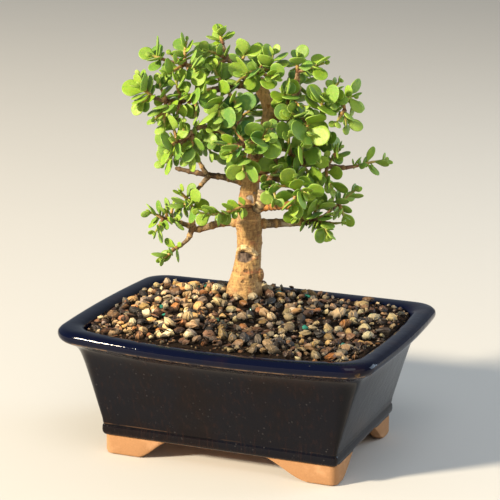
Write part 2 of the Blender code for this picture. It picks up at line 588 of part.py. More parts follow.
def make_trunk(name, extra=0.0):
    """Trunk, root crown, sawn stubs and swellings in one; extra thickens it for a clearance cut."""
    rows = np.array(TRUNK, float)
    route = rows[:, :3]
    trunk = tube(route, rows[:, 3] + extra, TRUNK_SIDES, name, BARK)
    for k in range(ROOT_COUNT):
        turn = 2 * math.pi * (k + 0.35 + 0.3 * math.sin(5 * k)) / ROOT_COUNT
        points = [(out * math.cos(turn), out * math.sin(turn), ROOT_HEIGHT - depth)
                  for out, depth, _ in ROOT_ROUTE]
        radii = np.array([radius for *_, radius in ROOT_ROUTE]) + extra
        combine(trunk, tube(np.array(points), radii, ROOT_SIDES, "root", BARK), "UNION")
    for *points, first, last in STUBS:
        radii = np.linspace(first, last, len(points)) + extra
        route = np.array(points, float)
        route[-1] += unit(route[-1] - route[-2]) * extra
        combine(trunk, tube(route, radii, STUB_SIDES, "stub", BARK), "UNION")
    for centre, radii in SWELLINGS:
        combine(trunk, ball(centre, np.array(radii) + extra, "swelling", BARK), "UNION")
    if extra == 0.0:
        combine(trunk, ball(*SCAR, "scar_cutter", BARK), "DIFFERENCE")
    return trunk


def lengths_along(route):
    """Distance travelled at each point of a route."""
    return np.concatenate([[0], np.cumsum(np.linalg.norm(np.diff(route, axis=0), axis=1))])


def taper(route, first, last):
    """Radii that fall evenly from the first to the last along a route."""
    travelled = lengths_along(route)
    return first + (last - first) * travelled / travelled[-1]


def make_limb(name, limb, extra=0.0):
    """A limb with its forks; extra thickens and lengthens it for a clearance cut."""
    body = None
    for points, first, last in limb:
        route = smooth_route(points, LIMB_STEP)
        radii = taper(route, first, last) + extra
        route[-1] += unit(route[-1] - route[-2]) * extra
        part = tube(route, radii, LIMB_SIDES, name if body is None else "fork", TWIG_BARK)
        if body is None:
            body = part
        else:
            combine(body, part, "UNION")
    return body


# ---------------------------------------------------------------- leaves

def leaf_half_width(u):
    """Half width over full width, from the foot at 0 to the tip at 1."""
    ease = np.clip((u - 0.05) / 0.5, 0, 1)
    ease = ease * ease * (3 - 2 * ease)
    tip = np.sqrt(np.clip(1 - (np.clip(u - 0.6, 0, 1) / 0.4) ** 2, 0, 1))
    return 0.5 * (LEAF_STEM + (1 - LEAF_STEM) * ease) * tip


def leaf_point(leaf, u, v, lift=0.0):
    """A point of a leaf: u runs from foot to tip, v from edge to edge, lift is off its middle surface."""
    base, axis, across, normal, length = leaf
    half = leaf_half_width(u) * LEAF_WIDTH * length
    bend = LEAF_CUP * length * (u ** 2 + 0.5 * v ** 2 * (half / length) * 2)
    return (base + np.multiply.outer(u * length, axis) + np.multiply.outer(half * v, across)
            + np.multiply.outer(bend + lift, normal))


def leaf_samples(leaf):
    """Points all over the leaf's middle surface, and those of them clear of its foot."""
    length = leaf[4]
    rows = max(5, round(length / SAMPLE_STEP))
    u = np.repeat(np.linspace(0.12, 1, rows), 9)
    cloud = leaf_point(leaf, u, np.tile(np.linspace(-1, 1, 9), rows))
    return cloud, cloud[u > 0.35]


def turned(vector, axis, angle):
    """The vector turned about a unit axis."""
    c, s = math.cos(angle), math.sin(angle)
    return vector * c + np.cross(axis, vector) * s + axis * (axis @ vector) * (1 - c)


def leaf_frame(node, tangent, side, azimuth, tilt, length, twist):
    """Where a leaf sits: its foot on the twig, its direction, its width direction and its upper side.

    The blade turns about its own length towards the light and the outside of the crown, up to a limit.
    """
    outward = turned(side, tangent, azimuth)
    axis = unit(tangent * math.cos(tilt) + outward * math.sin(tilt))
    normal = unit(tangent - axis * (tangent @ axis))
    wanted = np.array(LIGHT) + unit(node - np.array(CROWN_CENTRE))
    wanted = wanted - axis * (wanted @ axis)
    angle = math.atan2(axis @ np.cross(normal, wanted), normal @ wanted)
    angle = (angle + math.pi / 2) % math.pi - math.pi / 2
    normal = turned(normal, axis, max(-LEAF_TURN, min(LEAF_TURN, angle)) + twist)
    return (node + outward * 0.1 - tangent * 0.6, axis, np.cross(normal, axis), normal, length)


def station(route, share):
    """Point, tangent and cross direction at a share of a route's length."""
    tangents, sides, _ = frames(route)
    travelled = lengths_along(route)
    at = share * travelled[-1]
    point, tangent, side = (np.array([np.interp(at, travelled, values[:, k]) for k in range(3)])
                            for values in (route, tangents, sides))
    tangent = unit(tangent)
    return point, tangent, unit(side - tangent * (side @ tangent))


def read_along(route, spacing):
    """Points along a route's straight runs, about every spacing."""
    runs = [np.linspace(a, b, max(2, round(np.linalg.norm(b - a) / spacing) + 1))
            for a, b in zip(route[:-1], route[1:])]
    return np.concatenate(runs)


def inside_crown(points):
    """True where a leaf clears the gravel and stays within the pot's width."""
    return tree_to_world(points)[:, 1].max() < CROWN_BACK and points[:, 2].min() > CROWN_FLOOR


def wood_points():
    """Points along the trunk, its stubs and every limb, each with the radius there."""
    rows = np.array(TRUNK, float)
    route = read_along(rows[:, :3], WOOD_STEP)
    wood = [np.column_stack([route, np.interp(route[:, 2], rows[:, 2], rows[:, 3])])]
    for limb in LIMBS.values():
        for points, first, last in limb:
            route = smooth_route(points, WOOD_STEP)
            wood.append(np.column_stack([route, taper(route, first, last)]))
    for *points, first, _ in STUBS:
        route = smooth_route(points, WOOD_STEP)
        wood.append(np.column_stack([route, np.full(len(route), first)]))
    return np.concatenate(wood)


def nearest(points, others):
    """Distances from each of the other points to the nearest of points."""
    return np.linalg.norm(others[:, None] - points[None], axis=2).min(axis=1)


def grow():
    """Every shoot's twigs and leaves. Each leaf tries its own place first and then places near it."""
    dice = random.Random(SEED)
    wood = wood_points()
    twigs = {name: [smooth_route(points, TWIG_STEP) for points, *_ in sprigs]
             for name, (_, sprigs) in SHOOTS.items()}
    twig_points = np.concatenate([read_along(route, WOOD_STEP)
                                  for routes in twigs.values() for route in routes])
    grown = []
    shoots = {}
    for name, (_, sprigs) in SHOOTS.items():
        leaves = []
        for route, (_, pairs, length, spin) in zip(twigs[name], sprigs):
            for pair in range(pairs):
                late = pair / (pairs - 1)
                node, tangent, side = station(route, LEAF_FIRST + (1 - LEAF_FIRST) * late)
                size = LEAF_GROWTH * length * (1 - LEAF_SWELL + LEAF_SWELL * math.sin(math.pi * late))
                if pair == pairs - 1:
                    size *= LEAF_LAST
                tilt = math.radians(LEAF_TILT[0] + (LEAF_TILT[1] - LEAF_TILT[0]) * late)
                opposite = None
                for half in (0, 1):
                    turn = math.radians(spin + 90 * pair + 180 * half)
                    for attempt in range(LEAF_TRIES):
                        loose = 0.1 + 0.06 * attempt
                        leaf = leaf_frame(node, tangent, side, turn + dice.uniform(-2, 2) * loose,
                                          tilt + dice.uniform(-1.2, 1.2) * loose,
                                          size * (1 - 0.02 * attempt) * dice.uniform(0.93, 1.05),
                                          dice.uniform(-0.4, 0.4))
                        cloud, free = leaf_samples(leaf)
                        if is_clear(cloud, free, wood, twig_points, grown, opposite):
                            leaves.append(leaf)
                            opposite = cloud
                            grown.append((cloud.mean(axis=0), cloud, free))
                            break
        shoots[name] = (twigs[name], leaves)
    return shoots


def is_clear(cloud, free, wood, twig_points, grown, opposite):
    """True where a leaf stays inside the crown and off the wood, the twigs and the leaves grown so far."""
    if not inside_crown(cloud):
        return False
    if (nearest(free, wood[:, :3]) - wood[:, 3]).min() < WOOD_SPACE:
        return False
    if nearest(free, twig_points).min() < TWIG_SPACE:
        return False
    centre = cloud.mean(axis=0)
    for other_centre, other, other_free in grown:
        if np.linalg.norm(other_centre - centre) < LEAF_REACH:
            pair = other is opposite
            if nearest(other_free if pair else other, free if pair else cloud).min() < LEAF_SPACE:
                return False
    return True


def leaf_solid(leaf):
    """A leaf as a low closed solid: seven points round its margin and one raised on its upper side."""
    margin_u = np.array((0.42, 0.76, 0.985))
    foot = leaf_point(leaf, np.zeros(1), np.zeros(1))
    right = leaf_point(leaf, margin_u, np.ones(3), -LEAF_THICK / 4)
    left = leaf_point(leaf, margin_u, -np.ones(3), -LEAF_THICK / 4)
    crest = leaf_point(leaf, np.array((0.55,)), np.zeros(1), LEAF_THICK * 0.6)
    points = np.concatenate([foot, right, left[::-1], crest])
    faces = [(k, (k + 1) % 7, 7) for k in range(7)]
    faces += [(0, 6, 1), (6, 5, 2), (6, 2, 1), (5, 4, 3), (5, 3, 2)]
    return points, faces


def make_shoot(name, carrier, twigs, leaves):
    """One shoot: its twigs and leaves in one body, cut back to a seat on what carries it."""
    shoot = None
    for route in twigs:
        radii = taper(route, *TWIG_RADIUS)
        part = tube(route, radii, TWIG_SIDES, name if shoot is None else "twig", LEAF)
        if shoot is None:
            shoot = part
        else:
            combine(shoot, part, "UNION")
    if len(twigs) > 1 and carrier != "trunk":
        node = twigs[0][0]
        radius = carrier_radius(carrier, node) + GAP + COLLAR
        combine(shoot, ball(node, np.full(3, radius), "collar", LEAF, 1), "UNION")
    for leaf in leaves:
        points, faces = leaf_solid(leaf)
        combine(shoot, add_object("leaf", tree_to_world(points), faces, LEAF), "UNION")
    if carrier == "trunk":
        combine(shoot, make_trunk("seat_cutter", GAP), "DIFFERENCE")
    else:
        combine(shoot, make_limb("seat_cutter", LIMBS[carrier], GAP), "DIFFERENCE")
    return shoot


def carrier_radius(carrier, node):
    """Radius of a limb where a point lies on it."""
    found = []
    for points, first, last in LIMBS[carrier]:
        route = smooth_route(points, 1.0)
        away = np.linalg.norm(route - node, axis=1)
        k = int(away.argmin())
        found.append((away[k], taper(route, first, last)[k]))
    return min(found)[1]


def main():
    for old in list(bpy.data.objects):
        bpy.data.objects.remove(old)
    make_pot()
    make_soil()
    make_gravel()
    for side, label in ((-1, "left"), (1, "right")):
        make_screen("drain_screen_" + label, side * DRAIN_X)
        make_clip("screen_clip_" + label, side * DRAIN_X)
    make_trunk("trunk")
    for name, limb in LIMBS.items():
        made = make_limb(name, limb)
        combine(made, make_trunk("seat_cutter", GAP), "DIFFERENCE")
    for name, (twigs, leaves) in grow().items():
        make_shoot(name, SHOOTS[name][0], twigs, leaves)


main()
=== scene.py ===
"""Looks of a dwarf jade bonsai in a glazed, footed pot, laid out as a Blender add-on.

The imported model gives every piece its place. This script lays the finished surfaces over it: the glazed
pot, the gravel stone by stone, the bark with its rings and scars, and each leaf. Sizes are in millimetres
and become metres where a mesh is made. The tree has a frame of its own, turned about its foot: its X runs
along the flat face of the crown, its Y into the depth of the crown, and its Z is the height.
"""

import random
from collections import namedtuple
from math import atan2, cos, hypot, pi, radians, sin

import bpy
import numpy as np
from bpy.props import FloatProperty, FloatVectorProperty, IntProperty, PointerProperty
from bpy.types import Operator, Panel, PropertyGroup
from mathutils import Matrix, Vector


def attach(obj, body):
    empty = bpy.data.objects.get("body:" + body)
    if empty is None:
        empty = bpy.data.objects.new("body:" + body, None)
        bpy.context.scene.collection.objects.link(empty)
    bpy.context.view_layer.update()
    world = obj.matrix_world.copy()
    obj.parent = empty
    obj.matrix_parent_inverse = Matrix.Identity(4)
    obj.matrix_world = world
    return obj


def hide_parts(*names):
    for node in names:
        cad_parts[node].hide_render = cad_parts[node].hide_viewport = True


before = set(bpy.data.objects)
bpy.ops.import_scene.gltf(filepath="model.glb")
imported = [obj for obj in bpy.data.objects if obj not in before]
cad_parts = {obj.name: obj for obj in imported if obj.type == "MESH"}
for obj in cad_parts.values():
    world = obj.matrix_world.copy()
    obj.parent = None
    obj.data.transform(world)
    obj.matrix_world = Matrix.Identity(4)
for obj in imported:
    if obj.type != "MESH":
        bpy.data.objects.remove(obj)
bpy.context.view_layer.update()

bl_info = {
    "name": "Jade Bonsai",
    "version": (1, 0, 0),
    "blender": (4, 5, 0),
    "location": "3D View > Sidebar > Bonsai",
    "description": "Dresses the solids of a potted jade bonsai with glaze, gravel, bark and leaves",
    "category": "Object",
}

BODY = "root"
MM = 0.001
SEED = 11

# Pot: the outline of its rim, then the height and inset of its wall from the underside over the lip
RIM_HALF = (99.1, 73.1)
RIM_BOW = (3.4, 7.6)
RIM_SAG = 1.4
RIM_CORNER = 13
BASE_CORNER = 4.5
BASE_Z = 12.6
FLOOR_Z = 22
LIP_Z = 77
SAG_START = 60
SAG_FULL = 78  # the marks in the glaze sag as far as the rim from this height up
BAND_ROWS = (
    (12.6, 30), (12.7, 28.9), (13.1, 27.9), (13.8, 27.1), (14.8, 26.6), (16.4, 26.4), (18.4, 26.5),
    (19.1, 26.6), (19.6, 26.9), (20.1, 27), (20.7, 26.9), (21.4, 26.7),
)
WALL_ROWS = (
    (23.4, 26.4), (36, 22.1), (48.5, 17.9), (60.7, 13.6), (67.2, 10.8), (70.9, 8), (73.2, 4.6),
    (74.6, 2.2), (76.3, 0.6), (78.4, 0), (80.6, 0.4), (82, 1.7), (82.6, 4), (82.4, 7.6), (81.6, 10.6),
    (79.8, 12.2), (75, 13.7), (70, 15.6), (60, 21), (44, 26.7), (26, 33.2), (22.6, 34.9),
)
INSIDE_ROWS = ((22, 36.5), (22, 44))
WALL_STEP = 1.3
OUTLINE_STEPS = (10, 44, 32)  # points along each corner, long side and short side
FOOT_HALF = (75.6, 51.8)
FOOT_WALL = 8
FOOT_CORNER = 5
FOOT_FLATS = (  # flat length and cove at the two ends of the back, left, front and right side
    ((18.5, 35), (22, 24)), ((11.5, 25), (11.5, 25)),
    ((22, 24), (18.5, 35)), ((11.5, 25), (11.5, 25)),
)
COVE_POWER = 1.7  # a cove rises as this power of a quarter wave of sine
COVE_RISE = 0.8  # how far its top passes the pot's underside
FOOT_EDGE = 2.4  # rounding of the feet's lower edges
FOOT_ROOT = 17.5  # the feet's wall ends inside the pot's floor
DRAIN_X = 38
DRAIN_RADIUS = 7
DRAIN_SIDES = 48
POT_EDGE = 40  # degrees past which an edge of the pot stays sharp

# Marks in the glaze: the heights where each begins, is full, starts to fade and is gone
UNDER_LIP = (62, 70, 71.5, 76.5)
BAND_EDGE = (13.6, 14.4, 14.6, 15.8)
GROOVE = (19.3, 19.6, 19.9, 20.3)
LEDGE = (20.2, 20.5, 20.7, 21.1)
LIP_LINE = (74.7, 75.2, 75.5, 76.1)
THICK_GLAZE = (66.5, 76.5)  # the lip's blue glaze begins and is full
WORN_SPOT = ((94.5, -72.5, 76), 6)

# Gravel: the bed round the tree's foot and the stones on it
SOIL_TOP = 78
BED_INSET = 13.6
BED_EDGE = 78.9
BED_RISE = 4.6
BED_REACH = 42  # distance from the tree where the bed has lost most of its rise
COLLAR_RISE = 3.2  # how much more the bed rises close to the trunk
COLLAR_REACH = 13
BED_HOLE = 11.5
BED_BOTTOM = 0.35  # the bed's underside over the soil
BED_CRUMBS = ((0.8, 11, 3), (0.5, 3.6, 4), (0.35, 1.4, 5))  # height, cell and seed of its layers of noise
BED_RINGS = 64
BED_CORNER = 9  # stones stay inside corners of this radius
STACK = 1.7  # how high the middle of a stone may lie over the bed, over its mean radius
STONE_SINK = 0.3  # height of a stone's middle over the bed it rests on, over its mean radius
STONE_TOUCH = 0.8  # distance at which two stones touch, over the sum of their mean radii
STONE_CLIMB = 0.72  # how high a stone climbs on one that it touches, over a ball's climb
STONE_PLANES = 8  # planes that cut a ball into a stone
STONE_DEPTHS = (0.48, 0.88)  # how far they are from its middle
STONE_EDGE = 60  # power of the mean that rounds the edges between them: the higher, the sharper
STONE_MARGIN = -0.4  # added to a stone's mean radius where it keeps clear of the glaze
STONE_SHADES = (0.45, 1.3)  # darkest and lightest stone, over its tint
STONE_CASTS = (0.93, 1.07)  # least and most of each of its three colours
STONES_DARKEN_RIGHTWARD = (-60, -10)  # the stones are paler left of the first place and darker right of the second
LEFT_STONE_LEVEL = 1.2  # a stone at the left, over its tint
RIGHT_STONE_DROP = 0.66  # how much darker one at the right is
UNDERSIDE_SHADE_HEIGHTS = (-0.15, 0.36)  # height on a stone of size 1 where the painted shade on its underside is full and where it is gone
UNDERSIDE_SHADE_LEVEL = 0.03  # how dark that painted shade makes the stone

STONE_TINTS = (
    (0.74, 0.59, 0.36), (0.56, 0.38, 0.19), (0.6, 0.36, 0.13), (0.48, 0.2, 0.06), (0.15, 0.07, 0.032),
    (0.27, 0.22, 0.155), (0.04, 0.028, 0.022), (0.3, 0.155, 0.075), (0.64, 0.49, 0.25),
)
EVERYWHERE = (-200, -200), (200, 200)
# Kinds of grain: tints and their shares, least and most stretch of the three axes, how flat it lies, the
# chance of a grain outside its home, and the corners of its home.
STONES = (
    STONE_TINTS, (2.2, 3.2, 2, 0.9, 2.4, 1.5, 2.2, 2, 1.7), ((1.05, 0.78, 0.6), (1.4, 1.1, 0.9)),
    0.86, 0, *EVERYWHERE,
)
GRIT = ([(0.42 * r, 0.36 * g, 0.32 * b) for r, g, b in STONE_TINTS], *STONES[1:])
GLASS = (*STONES[:2], ((1, 0.8, 0.6), (1.4, 1, 0.9)), 0.86, 0.25, (-60, -30), (200, 200))
CHIPS = (
    ((0.2, 0.08, 0.028), (0.1, 0.042, 0.018), (0.3, 0.15, 0.06)), (2, 2, 1),
    ((1.5, 0.45, 0.22), (2.2, 0.75, 0.4)), 0.45, 0.2, (-90, -70), (35, 0),
)

# Tree
TREE_FOOT = (-16, 32)
TREE_TURN = radians(21.8)
CROWN_BACK = 79
CROWN_FLOOR = 90

TRUNK = (  # x, y, z and radius up the trunk
    (0, 0, 68, 8), (-1.5, 0, 76, 12.6), (-1.5, 0, 84, 12), (-1, 0, 90, 11), (0, 0, 98, 9.4),
    (1, 0, 107, 8.3), (2, 0, 118, 7.6), (2, 0, 131, 8), (2, 0, 141, 7.2), (2, 0, 152, 6.2),
    (3, 1, 163, 5.4), (5, 1, 173, 4.9), (8, 2, 183, 4.5), (12, 3, 193, 4.3), (14, 3, 203, 4.3),
    (12, 4, 210, 4.1), (9, 4, 217, 3.9), (7, 5, 223, 3.5),
)
TRUNK_VOXEL = 0.5  # cell of the remesh that joins the trunk's parts
ROOT_COUNT = 7
ROOT_ROUTE = ((5, 92), (7.8, 86.5), (10.8, 80.5), (15, 75))  # distance from the trunk's axis, height
ROOT_MIDDLE = -1.4  # X of the point that they leave from
ROOT_RADII = (2.6, 2.8)
STUBS = (  # sawn stubs: three points and two radii
    ((6, -3, 142), (9, -8, 147), (10, -9, 155), 3, 2.6),
    ((4, -2, 143), (22, -12, 147), (34, -16, 147), 3, 2.4),
)
STUB_ORANGE = (5, 80)  # how far the orange bark of their feet reaches along them
SWELLINGS = (  # centre, radius and half height of the knot and of a boss
    ((8.2, -3, 100), 3.1, 4.4),
    ((-2.5, -1, 131), 4.2, 4.8),
)
LIP = (  # route of the callus that curls over the scar
    (-4.8, -4.6, 115.6), (-3.2, -6.6, 117.9), (-0.8, -7.8, 118.5), (1.6, -8.1, 117), (4, -7.8, 116.2),
    (5.9, -6.8, 113.6),
)
LIP_RADII = (1.7, 1.3)  # at its left and at its right end
SCAR = ((-1.7, -6.2, 112.3), (6.8, 6.4, 3.7))
SCAR_END = ((5, -7.4, 112.2), (3, 2.2, 0.9))
CUT_PATCH = ((2.6, -5.8, 149), (3.3, 3.4, 3.3))
RED_KNOT = ((11.5, -4, 100), 6, 2.5)  # its middle, and where the red bark round it begins and is full
RING_RISE = 0.34  # how far the bark's rings and flutes stand out
FLUTE_RISE = 0.3
BARK_LUMPS = ((0.34, 9, 23), (0.24, 3.4, 24), (0.14, 1.5, 25))  # height, cell and seed of layers of noise
BARK_GRAIN = ((0.16, (1.7, 1.7, 8), 26), (0.1, (8, 8, 1.1), 27))
LIMB_GRAIN = ((0.055, 2.6, 31), (0.035, 1.1, 32))
PIT_DEPTH = 0.42
SCAR_DEPTHS = (1.7, 0.8, 0.4)  # of the scar, its end and the old cut
PITS = (
    (-6.9, -6, 103.7), (0.6, -9, 103.9), (-8.6, -7, 99.6), (-1.7, -9, 97.1), (-3.4, -9, 101), (3.1, -8.6, 100),
)
PIT_ZONE = ((-10, -11, 86), (10, 9, 110), (12, 3))  # two corners, and how many more pits lie between them
RING_HEIGHTS = (88, 95, 103, 121, 127, 134, 141.5, 149, 155, 162, 169, 175, 181, 188, 194, 200, 206, 212, 218)
# The orange bark higher up is partly painted light, and the palest bark in the crown is painted light: both
# lighten a trunk that lies in the leaves' shade.
ORANGE_BARK_AND_LIGHT = (148, 172)  # heights where the trunk's bark begins to turn orange, and where it has
CROWN_PAINTED_LIGHT = (176, 192)  # and where it is palest, in the crown
SPECKLED_FOOT = (100, 86)  # heights where brown specks begin and are full, towards the roots
LIMB_MASKS = ("ring", "cut", "foot", "dark")  # values that the limbs' bark reads


def gathered(rows):
    """Rows that begin with a name, gathered under it in their order."""
    found = {}
    for name, *rest in rows:
        found.setdefault(name, []).append(rest)
    return found


def twigs_of(rows):
    """The twigs of each shoot. A row has the shoot's name and a place where twigs start, and then for each
    twig the rest of its route, its leaf pairs, its leaf length and the turn of its first pair in degrees."""
    return {name: [((start, *route), pairs, length, spin)
                   for start, *twigs in places for *route, pairs, length, spin in twigs]
            for name, places in gathered(rows).items()}


# Limbs and their forks: the route in the tree's frame, then the first and last radius
LIMBS = gathered((
    ("left_high", (9, 4, 217), (-4, 0, 220), (-13, -4, 219), (-29, -8, 215), (-41, -10, 211), (-50, -12, 212),
     (-57, -14, 214), 2.7, 1.1),
    ("left_high", (-26, -7, 216), (-30, -4, 222), (-35, 0, 229), (-39, 2, 233), (-46, 4, 233), (-52, 4, 235),
     1.6, 1),
    ("leader", (8, 5, 221), (2, 6, 221), (-7, 10, 227), (-12, 12, 235), (-15, 14, 243), 2, 0.9),
    ("crown_right", (13, 3, 206), (24, 2, 209), (31, 0, 215), (31, 0, 222), (31, 0, 228), 2.8, 1.3),
    ("right_upper", (14, 3, 201), (28, 0, 199), (43, -4, 199), (50, -6, 209), (58, -6, 213), 2.6, 1),
    ("right_high", (5, 2, 165), (18, 0, 170), (28, 0, 172), (44, 2, 170), (54, 4, 168), (62, 6, 167), 4, 1.2),
    ("right_low", (4, 0, 132), (14, 2, 132), (25, 4, 132), (41, 8, 132), (47, 9, 133), 3.1, 2),
    ("front_right", (4, 0, 161), (14, -8, 163), (24, -14, 162), (31, -18, 158), 2.2, 1.2),
    ("front_upper", (5, 1, 171), (5, -6, 178), (3, -12, 184), (-1, -20, 187), 2.4, 1.3),
    ("left_upper", (5, 1, 180), (-9, -8, 187), (-20, -12, 194), (-28, -14, 196), (-36, -16, 191),
     (-42, -18, 187), 2.5, 1),
    ("left_mid", (1, 1, 158), (-13, 8, 160), (-26, 12, 161), (-44, 16, 164), 2.5, 1.2),
    ("left_mid", (-25, 12, 161), (-30, 12, 170), (-31, 11, 175), 1.4, 0.9),
    ("left_mid", (-23, 11, 161), (-29, 10, 154), (-33, 8, 149), (-36, 7, 145), 1.5, 0.9),
    ("left_low", (0, 1, 132), (-14, 4, 132), (-30, 6, 127), (-35, 6, 129), (-46, 8, 132), (-52, 10, 133), 3,
     1.1),
    ("left_low", (-34, 6, 128), (-36, 5, 122), (-39, 3, 119), (-43, 2, 116), 1.7, 1),
    ("left_low", (-33, 6, 127), (-34, 4, 134), (-34, 3, 139), 1.8, 1.1),
    ("back_left", (5, 2, 175), (1, 16, 183), (-7, 29, 190), 2.6, 1.2),
    ("back_right", (10, 3, 187), (17, 14, 193), (22, 23, 198), 2.4, 1.2),
))
LIMB_PAINTED_SHADE = {"left_mid": 0.85, "left_high": 0.6, "right_high": 0.5, "front_right": 0.4}  # share of painted shade: dark bark standing for the shade that these limbs lie in
PLAIN_PAINTED_SHADE = 0.1  # and on the other limbs
PALE_PATCH = ((26, 2, 133), 7)  # bare wood on the low limb at the right: its middle and radius

SHOOTS = twigs_of((
    ("left_rosette", (-14, -4, 219), ((-16, -14, 211), (-17, -22, 203), 4, 14.5, 20),
     ((-8, -13, 213), (-6, -19, 208), 3, 13, 60), ((-18, -3, 226), (-20, -4, 230), 3, 11.5, 10)),
    ("right_front_rosette", (36, -2, 199), ((37, -12, 197), (38, -20, 194), 4, 15, 70),
     ((30, -12, 203), (27, -18, 206), 3, 12, 20)),
    ("right_upper_rosette", (46, -5, 203), ((46, -12, 210), (46, -17, 215), 4, 14.5, 10),
     ((52, 2, 215), (57, 2, 222), 3, 8, 30)),
    ("right_high_front", (34, 1, 172), ((34, -10, 180), (34, -18, 185), 4, 14.5, 65),
     ((25, -9, 180), (20, -15, 184), 3, 13.5, 15), ((41, 9, 181), (46, 15, 187), 4, 12.5, 20)),
    ("front_right_tip", (31, -18, 158), ((34, -22, 158), (37, -26, 158), 3, 13.5, 40),
     ((29, -21, 151), (28, -24, 149), 3, 14, 15)),
    ("front_upper_right", (3, -12, 184), ((8, -20, 189), (12, -27, 191), 4, 14.5, 75)),
    ("front_upper_left", (-1, -20, 187), ((-6, -24, 185), (-10, -28, 182), 3, 12.5, 50),
     ((-6, -19, 194), (-9, -20, 199), 3, 12, 15)),
    ("front_low", (1, -16, 186), ((-1, -22, 179), (-2, -26, 171), 4, 12.5, 25)),
    ("left_upper_tip", (-42, -18, 187), ((-45, -20, 186), (-47, -22, 184), 3, 14.5, 55),
     ((-44, -16, 194), (-45, -16, 199), 3, 12, 20)),
    ("left_upper_under", (-33, -15, 193), ((-33, -18, 186), (-36, -19, 178), 4, 13, 35),
     ((-43, -12, 181), (-50, -11, 173), 4, 11.5, 60), ((-25, -15, 186), (-22, -16, 181), 2, 13.5, 10)),
    ("left_high_tip", (-57, -14, 214), ((-61, -16, 218), (-64, -17, 221), 3, 14, 45)),
    ("left_high_outer", (-49, -12, 212), ((-52, -12, 219), (-53, -12, 223), 2, 12, 25),
     ((-50, -15, 204), (-50, -16, 196), 4, 11.5, 0)),
    ("left_high_mid", (-40, -10, 211), ((-42, -12, 219), (-43, -13, 225), 3, 11, 50),
     ((-42, -16, 205), (-42, -19, 201), 3, 11, 15), ((-46, -5, 205), (-49, -3, 199), 4, 11.5, 70)),
    ("left_high_inner", (-31, -9, 214), ((-34, -16, 216), (-36, -20, 217), 3, 13, 30),
     ((-31, -15, 206), (-31, -18, 201), 3, 13, 60)),
    ("top_left_tip", (-52, 4, 235), ((-55, 4, 236), (-58, 4, 237), 3, 13.5, 80)),
    ("top_left_inner", (-38, 2, 232), ((-38, 2, 240), (-37, 2, 246), 4, 10.5, 40),
     ((-33, -6, 232), (-31, -13, 231), 4, 12.5, 10), ((-45, -6, 229), (-49, -10, 228), 3, 11.5, 45)),
    ("top_tip", (-15, 14, 243), ((-16, 14, 247), (-16, 14, 251), 3, 10.5, 5),
     ((-20, 20, 242), (-26, 24, 240), 3, 11.5, 30)),
    ("top_right_of_leader", (-8, 10, 228), ((-3, 9, 234), (0, 8, 240), 4, 11.5, 30),
     ((2, 19, 231), (8, 25, 233), 4, 12, 0)),
    ("top_left_of_leader", (-12, 12, 234), ((-19, 8, 238), (-24, 5, 240), 3, 12.5, 25),
     ((-20, 1, 231), (-24, -3, 230), 3, 12.5, 70), ((-21, 20, 228), (-29, 25, 224), 4, 12.5, 15)),
    ("crown_centre", (7, 5, 220), ((7, 4, 227), (14, 0, 231), (16, -2, 239), 5, 12, 35)),
    ("crown_centre", (7, 4, 227), ((3, -3, 228), (-1, -11, 228), 4, 14, 20),
     ((13, -8, 227), (17, -14, 227), 3, 12, 50)),
    ("crown_right_up", (31, 0, 228), ((31, -1, 232), (31, -2, 237), 4, 12, 10),
     ((39, -2, 231), (47, -4, 234), 4, 12, 50)),
    ("crown_front", (27, 1, 211), ((24, -8, 215), (22, -15, 218), 4, 13.5, 15),
     ((32, -9, 209), (36, -14, 209), 3, 12.5, 60)),
    ("crown_back", (30, 1, 216), ((34, 11, 221), (37, 19, 224), 5, 12.5, 35)),
    ("right_upper_tip", (58, -6, 213), ((61, -6, 214), (65, -6, 214), 3, 12, 60),
     ((60, -9, 206), (61, -10, 197), 4, 11.5, 10)),
    ("right_high_tip", (62, 6, 167), ((70, 8, 168), (78, 9, 170), (86, 10, 171), 4, 10.5, 90)),
    ("right_high_outer", (50, 3, 169), ((54, 1, 175), (58, 0, 180), 3, 10.5, 45),
     ((50, -3, 163), (53, -4, 156), 4, 11.5, 20)),
    ("front_right_inner", (14, -8, 163), ((14, -13, 160), (13, -17, 159), 2, 8.5, 30),
     ((18, -14, 168), (20, -18, 172), 3, 13.5, 80)),
    ("right_low_tip", (47, 9, 133), ((55, 8, 141), (62, 8, 147), (68, 8, 152), 5, 9.5, 60)),
    ("right_low_rosette", (41, 8, 132), ((43, 0, 140), (45, -6, 146), 4, 14, 20),
     ((47, 0, 134), (51, -4, 127), 4, 12.5, 65), ((34, -2, 137), (31, -8, 138), 3, 10, 40)),
    ("left_mid_up", (-31, 11, 175), ((-32, 10, 180), (-35, 8, 186), 4, 11.5, 30),
     ((-33, 20, 179), (-36, 27, 184), 4, 12, 60)),
    ("left_mid_down", (-36, 7, 145), ((-38, 6, 143), (-41, 5, 141), 3, 12, 45)),
    ("left_front", (5, -2, 144),
     ((-2, -13, 146), (-10, -17, 144), (-20, -22, 143), (-28, -26, 145), 5, 9.5, 75)),
    ("left_low_tip", (-52, 10, 133), ((-56, 10, 135), (-60, 9, 137), 3, 11, 20),
     ((-55, 5, 129), (-57, 2, 126), 3, 10, 60)),
    ("left_low_up", (-34, 3, 139), ((-34, 1, 143), (-35, -3, 146), 4, 13, 15)),
    ("left_low_down", (-43, 2, 116), ((-44, 1, 116), (-47, -1, 115), 3, 10.5, 40)),
    ("back_left", (-7, 29, 190), ((-14, 37, 193), (-21, 44, 195), 4, 13, 20),
     ((-4, 38, 197), (-2, 42, 203), 4, 12.5, 60), ((-18, 27, 186), (-28, 27, 182), 5, 12, 30)),
    ("back_right", (22, 23, 198), ((27, 30, 205), (30, 33, 213), 4, 12.5, 45),
     ((32, 22, 194), (40, 20, 189), 5, 12.5, 10), ((17, 33, 192), (14, 37, 186), 4, 12, 70)),
    ("back_low", (2, 2, 157), ((2, 16, 160), (-7, 27, 164), (-14, 34, 166), 5, 12, 20)),
    ("back_low", (2, 16, 160), ((12, 22, 160), (22, 27, 162), (28, 30, 166), 5, 12, 55)),
))

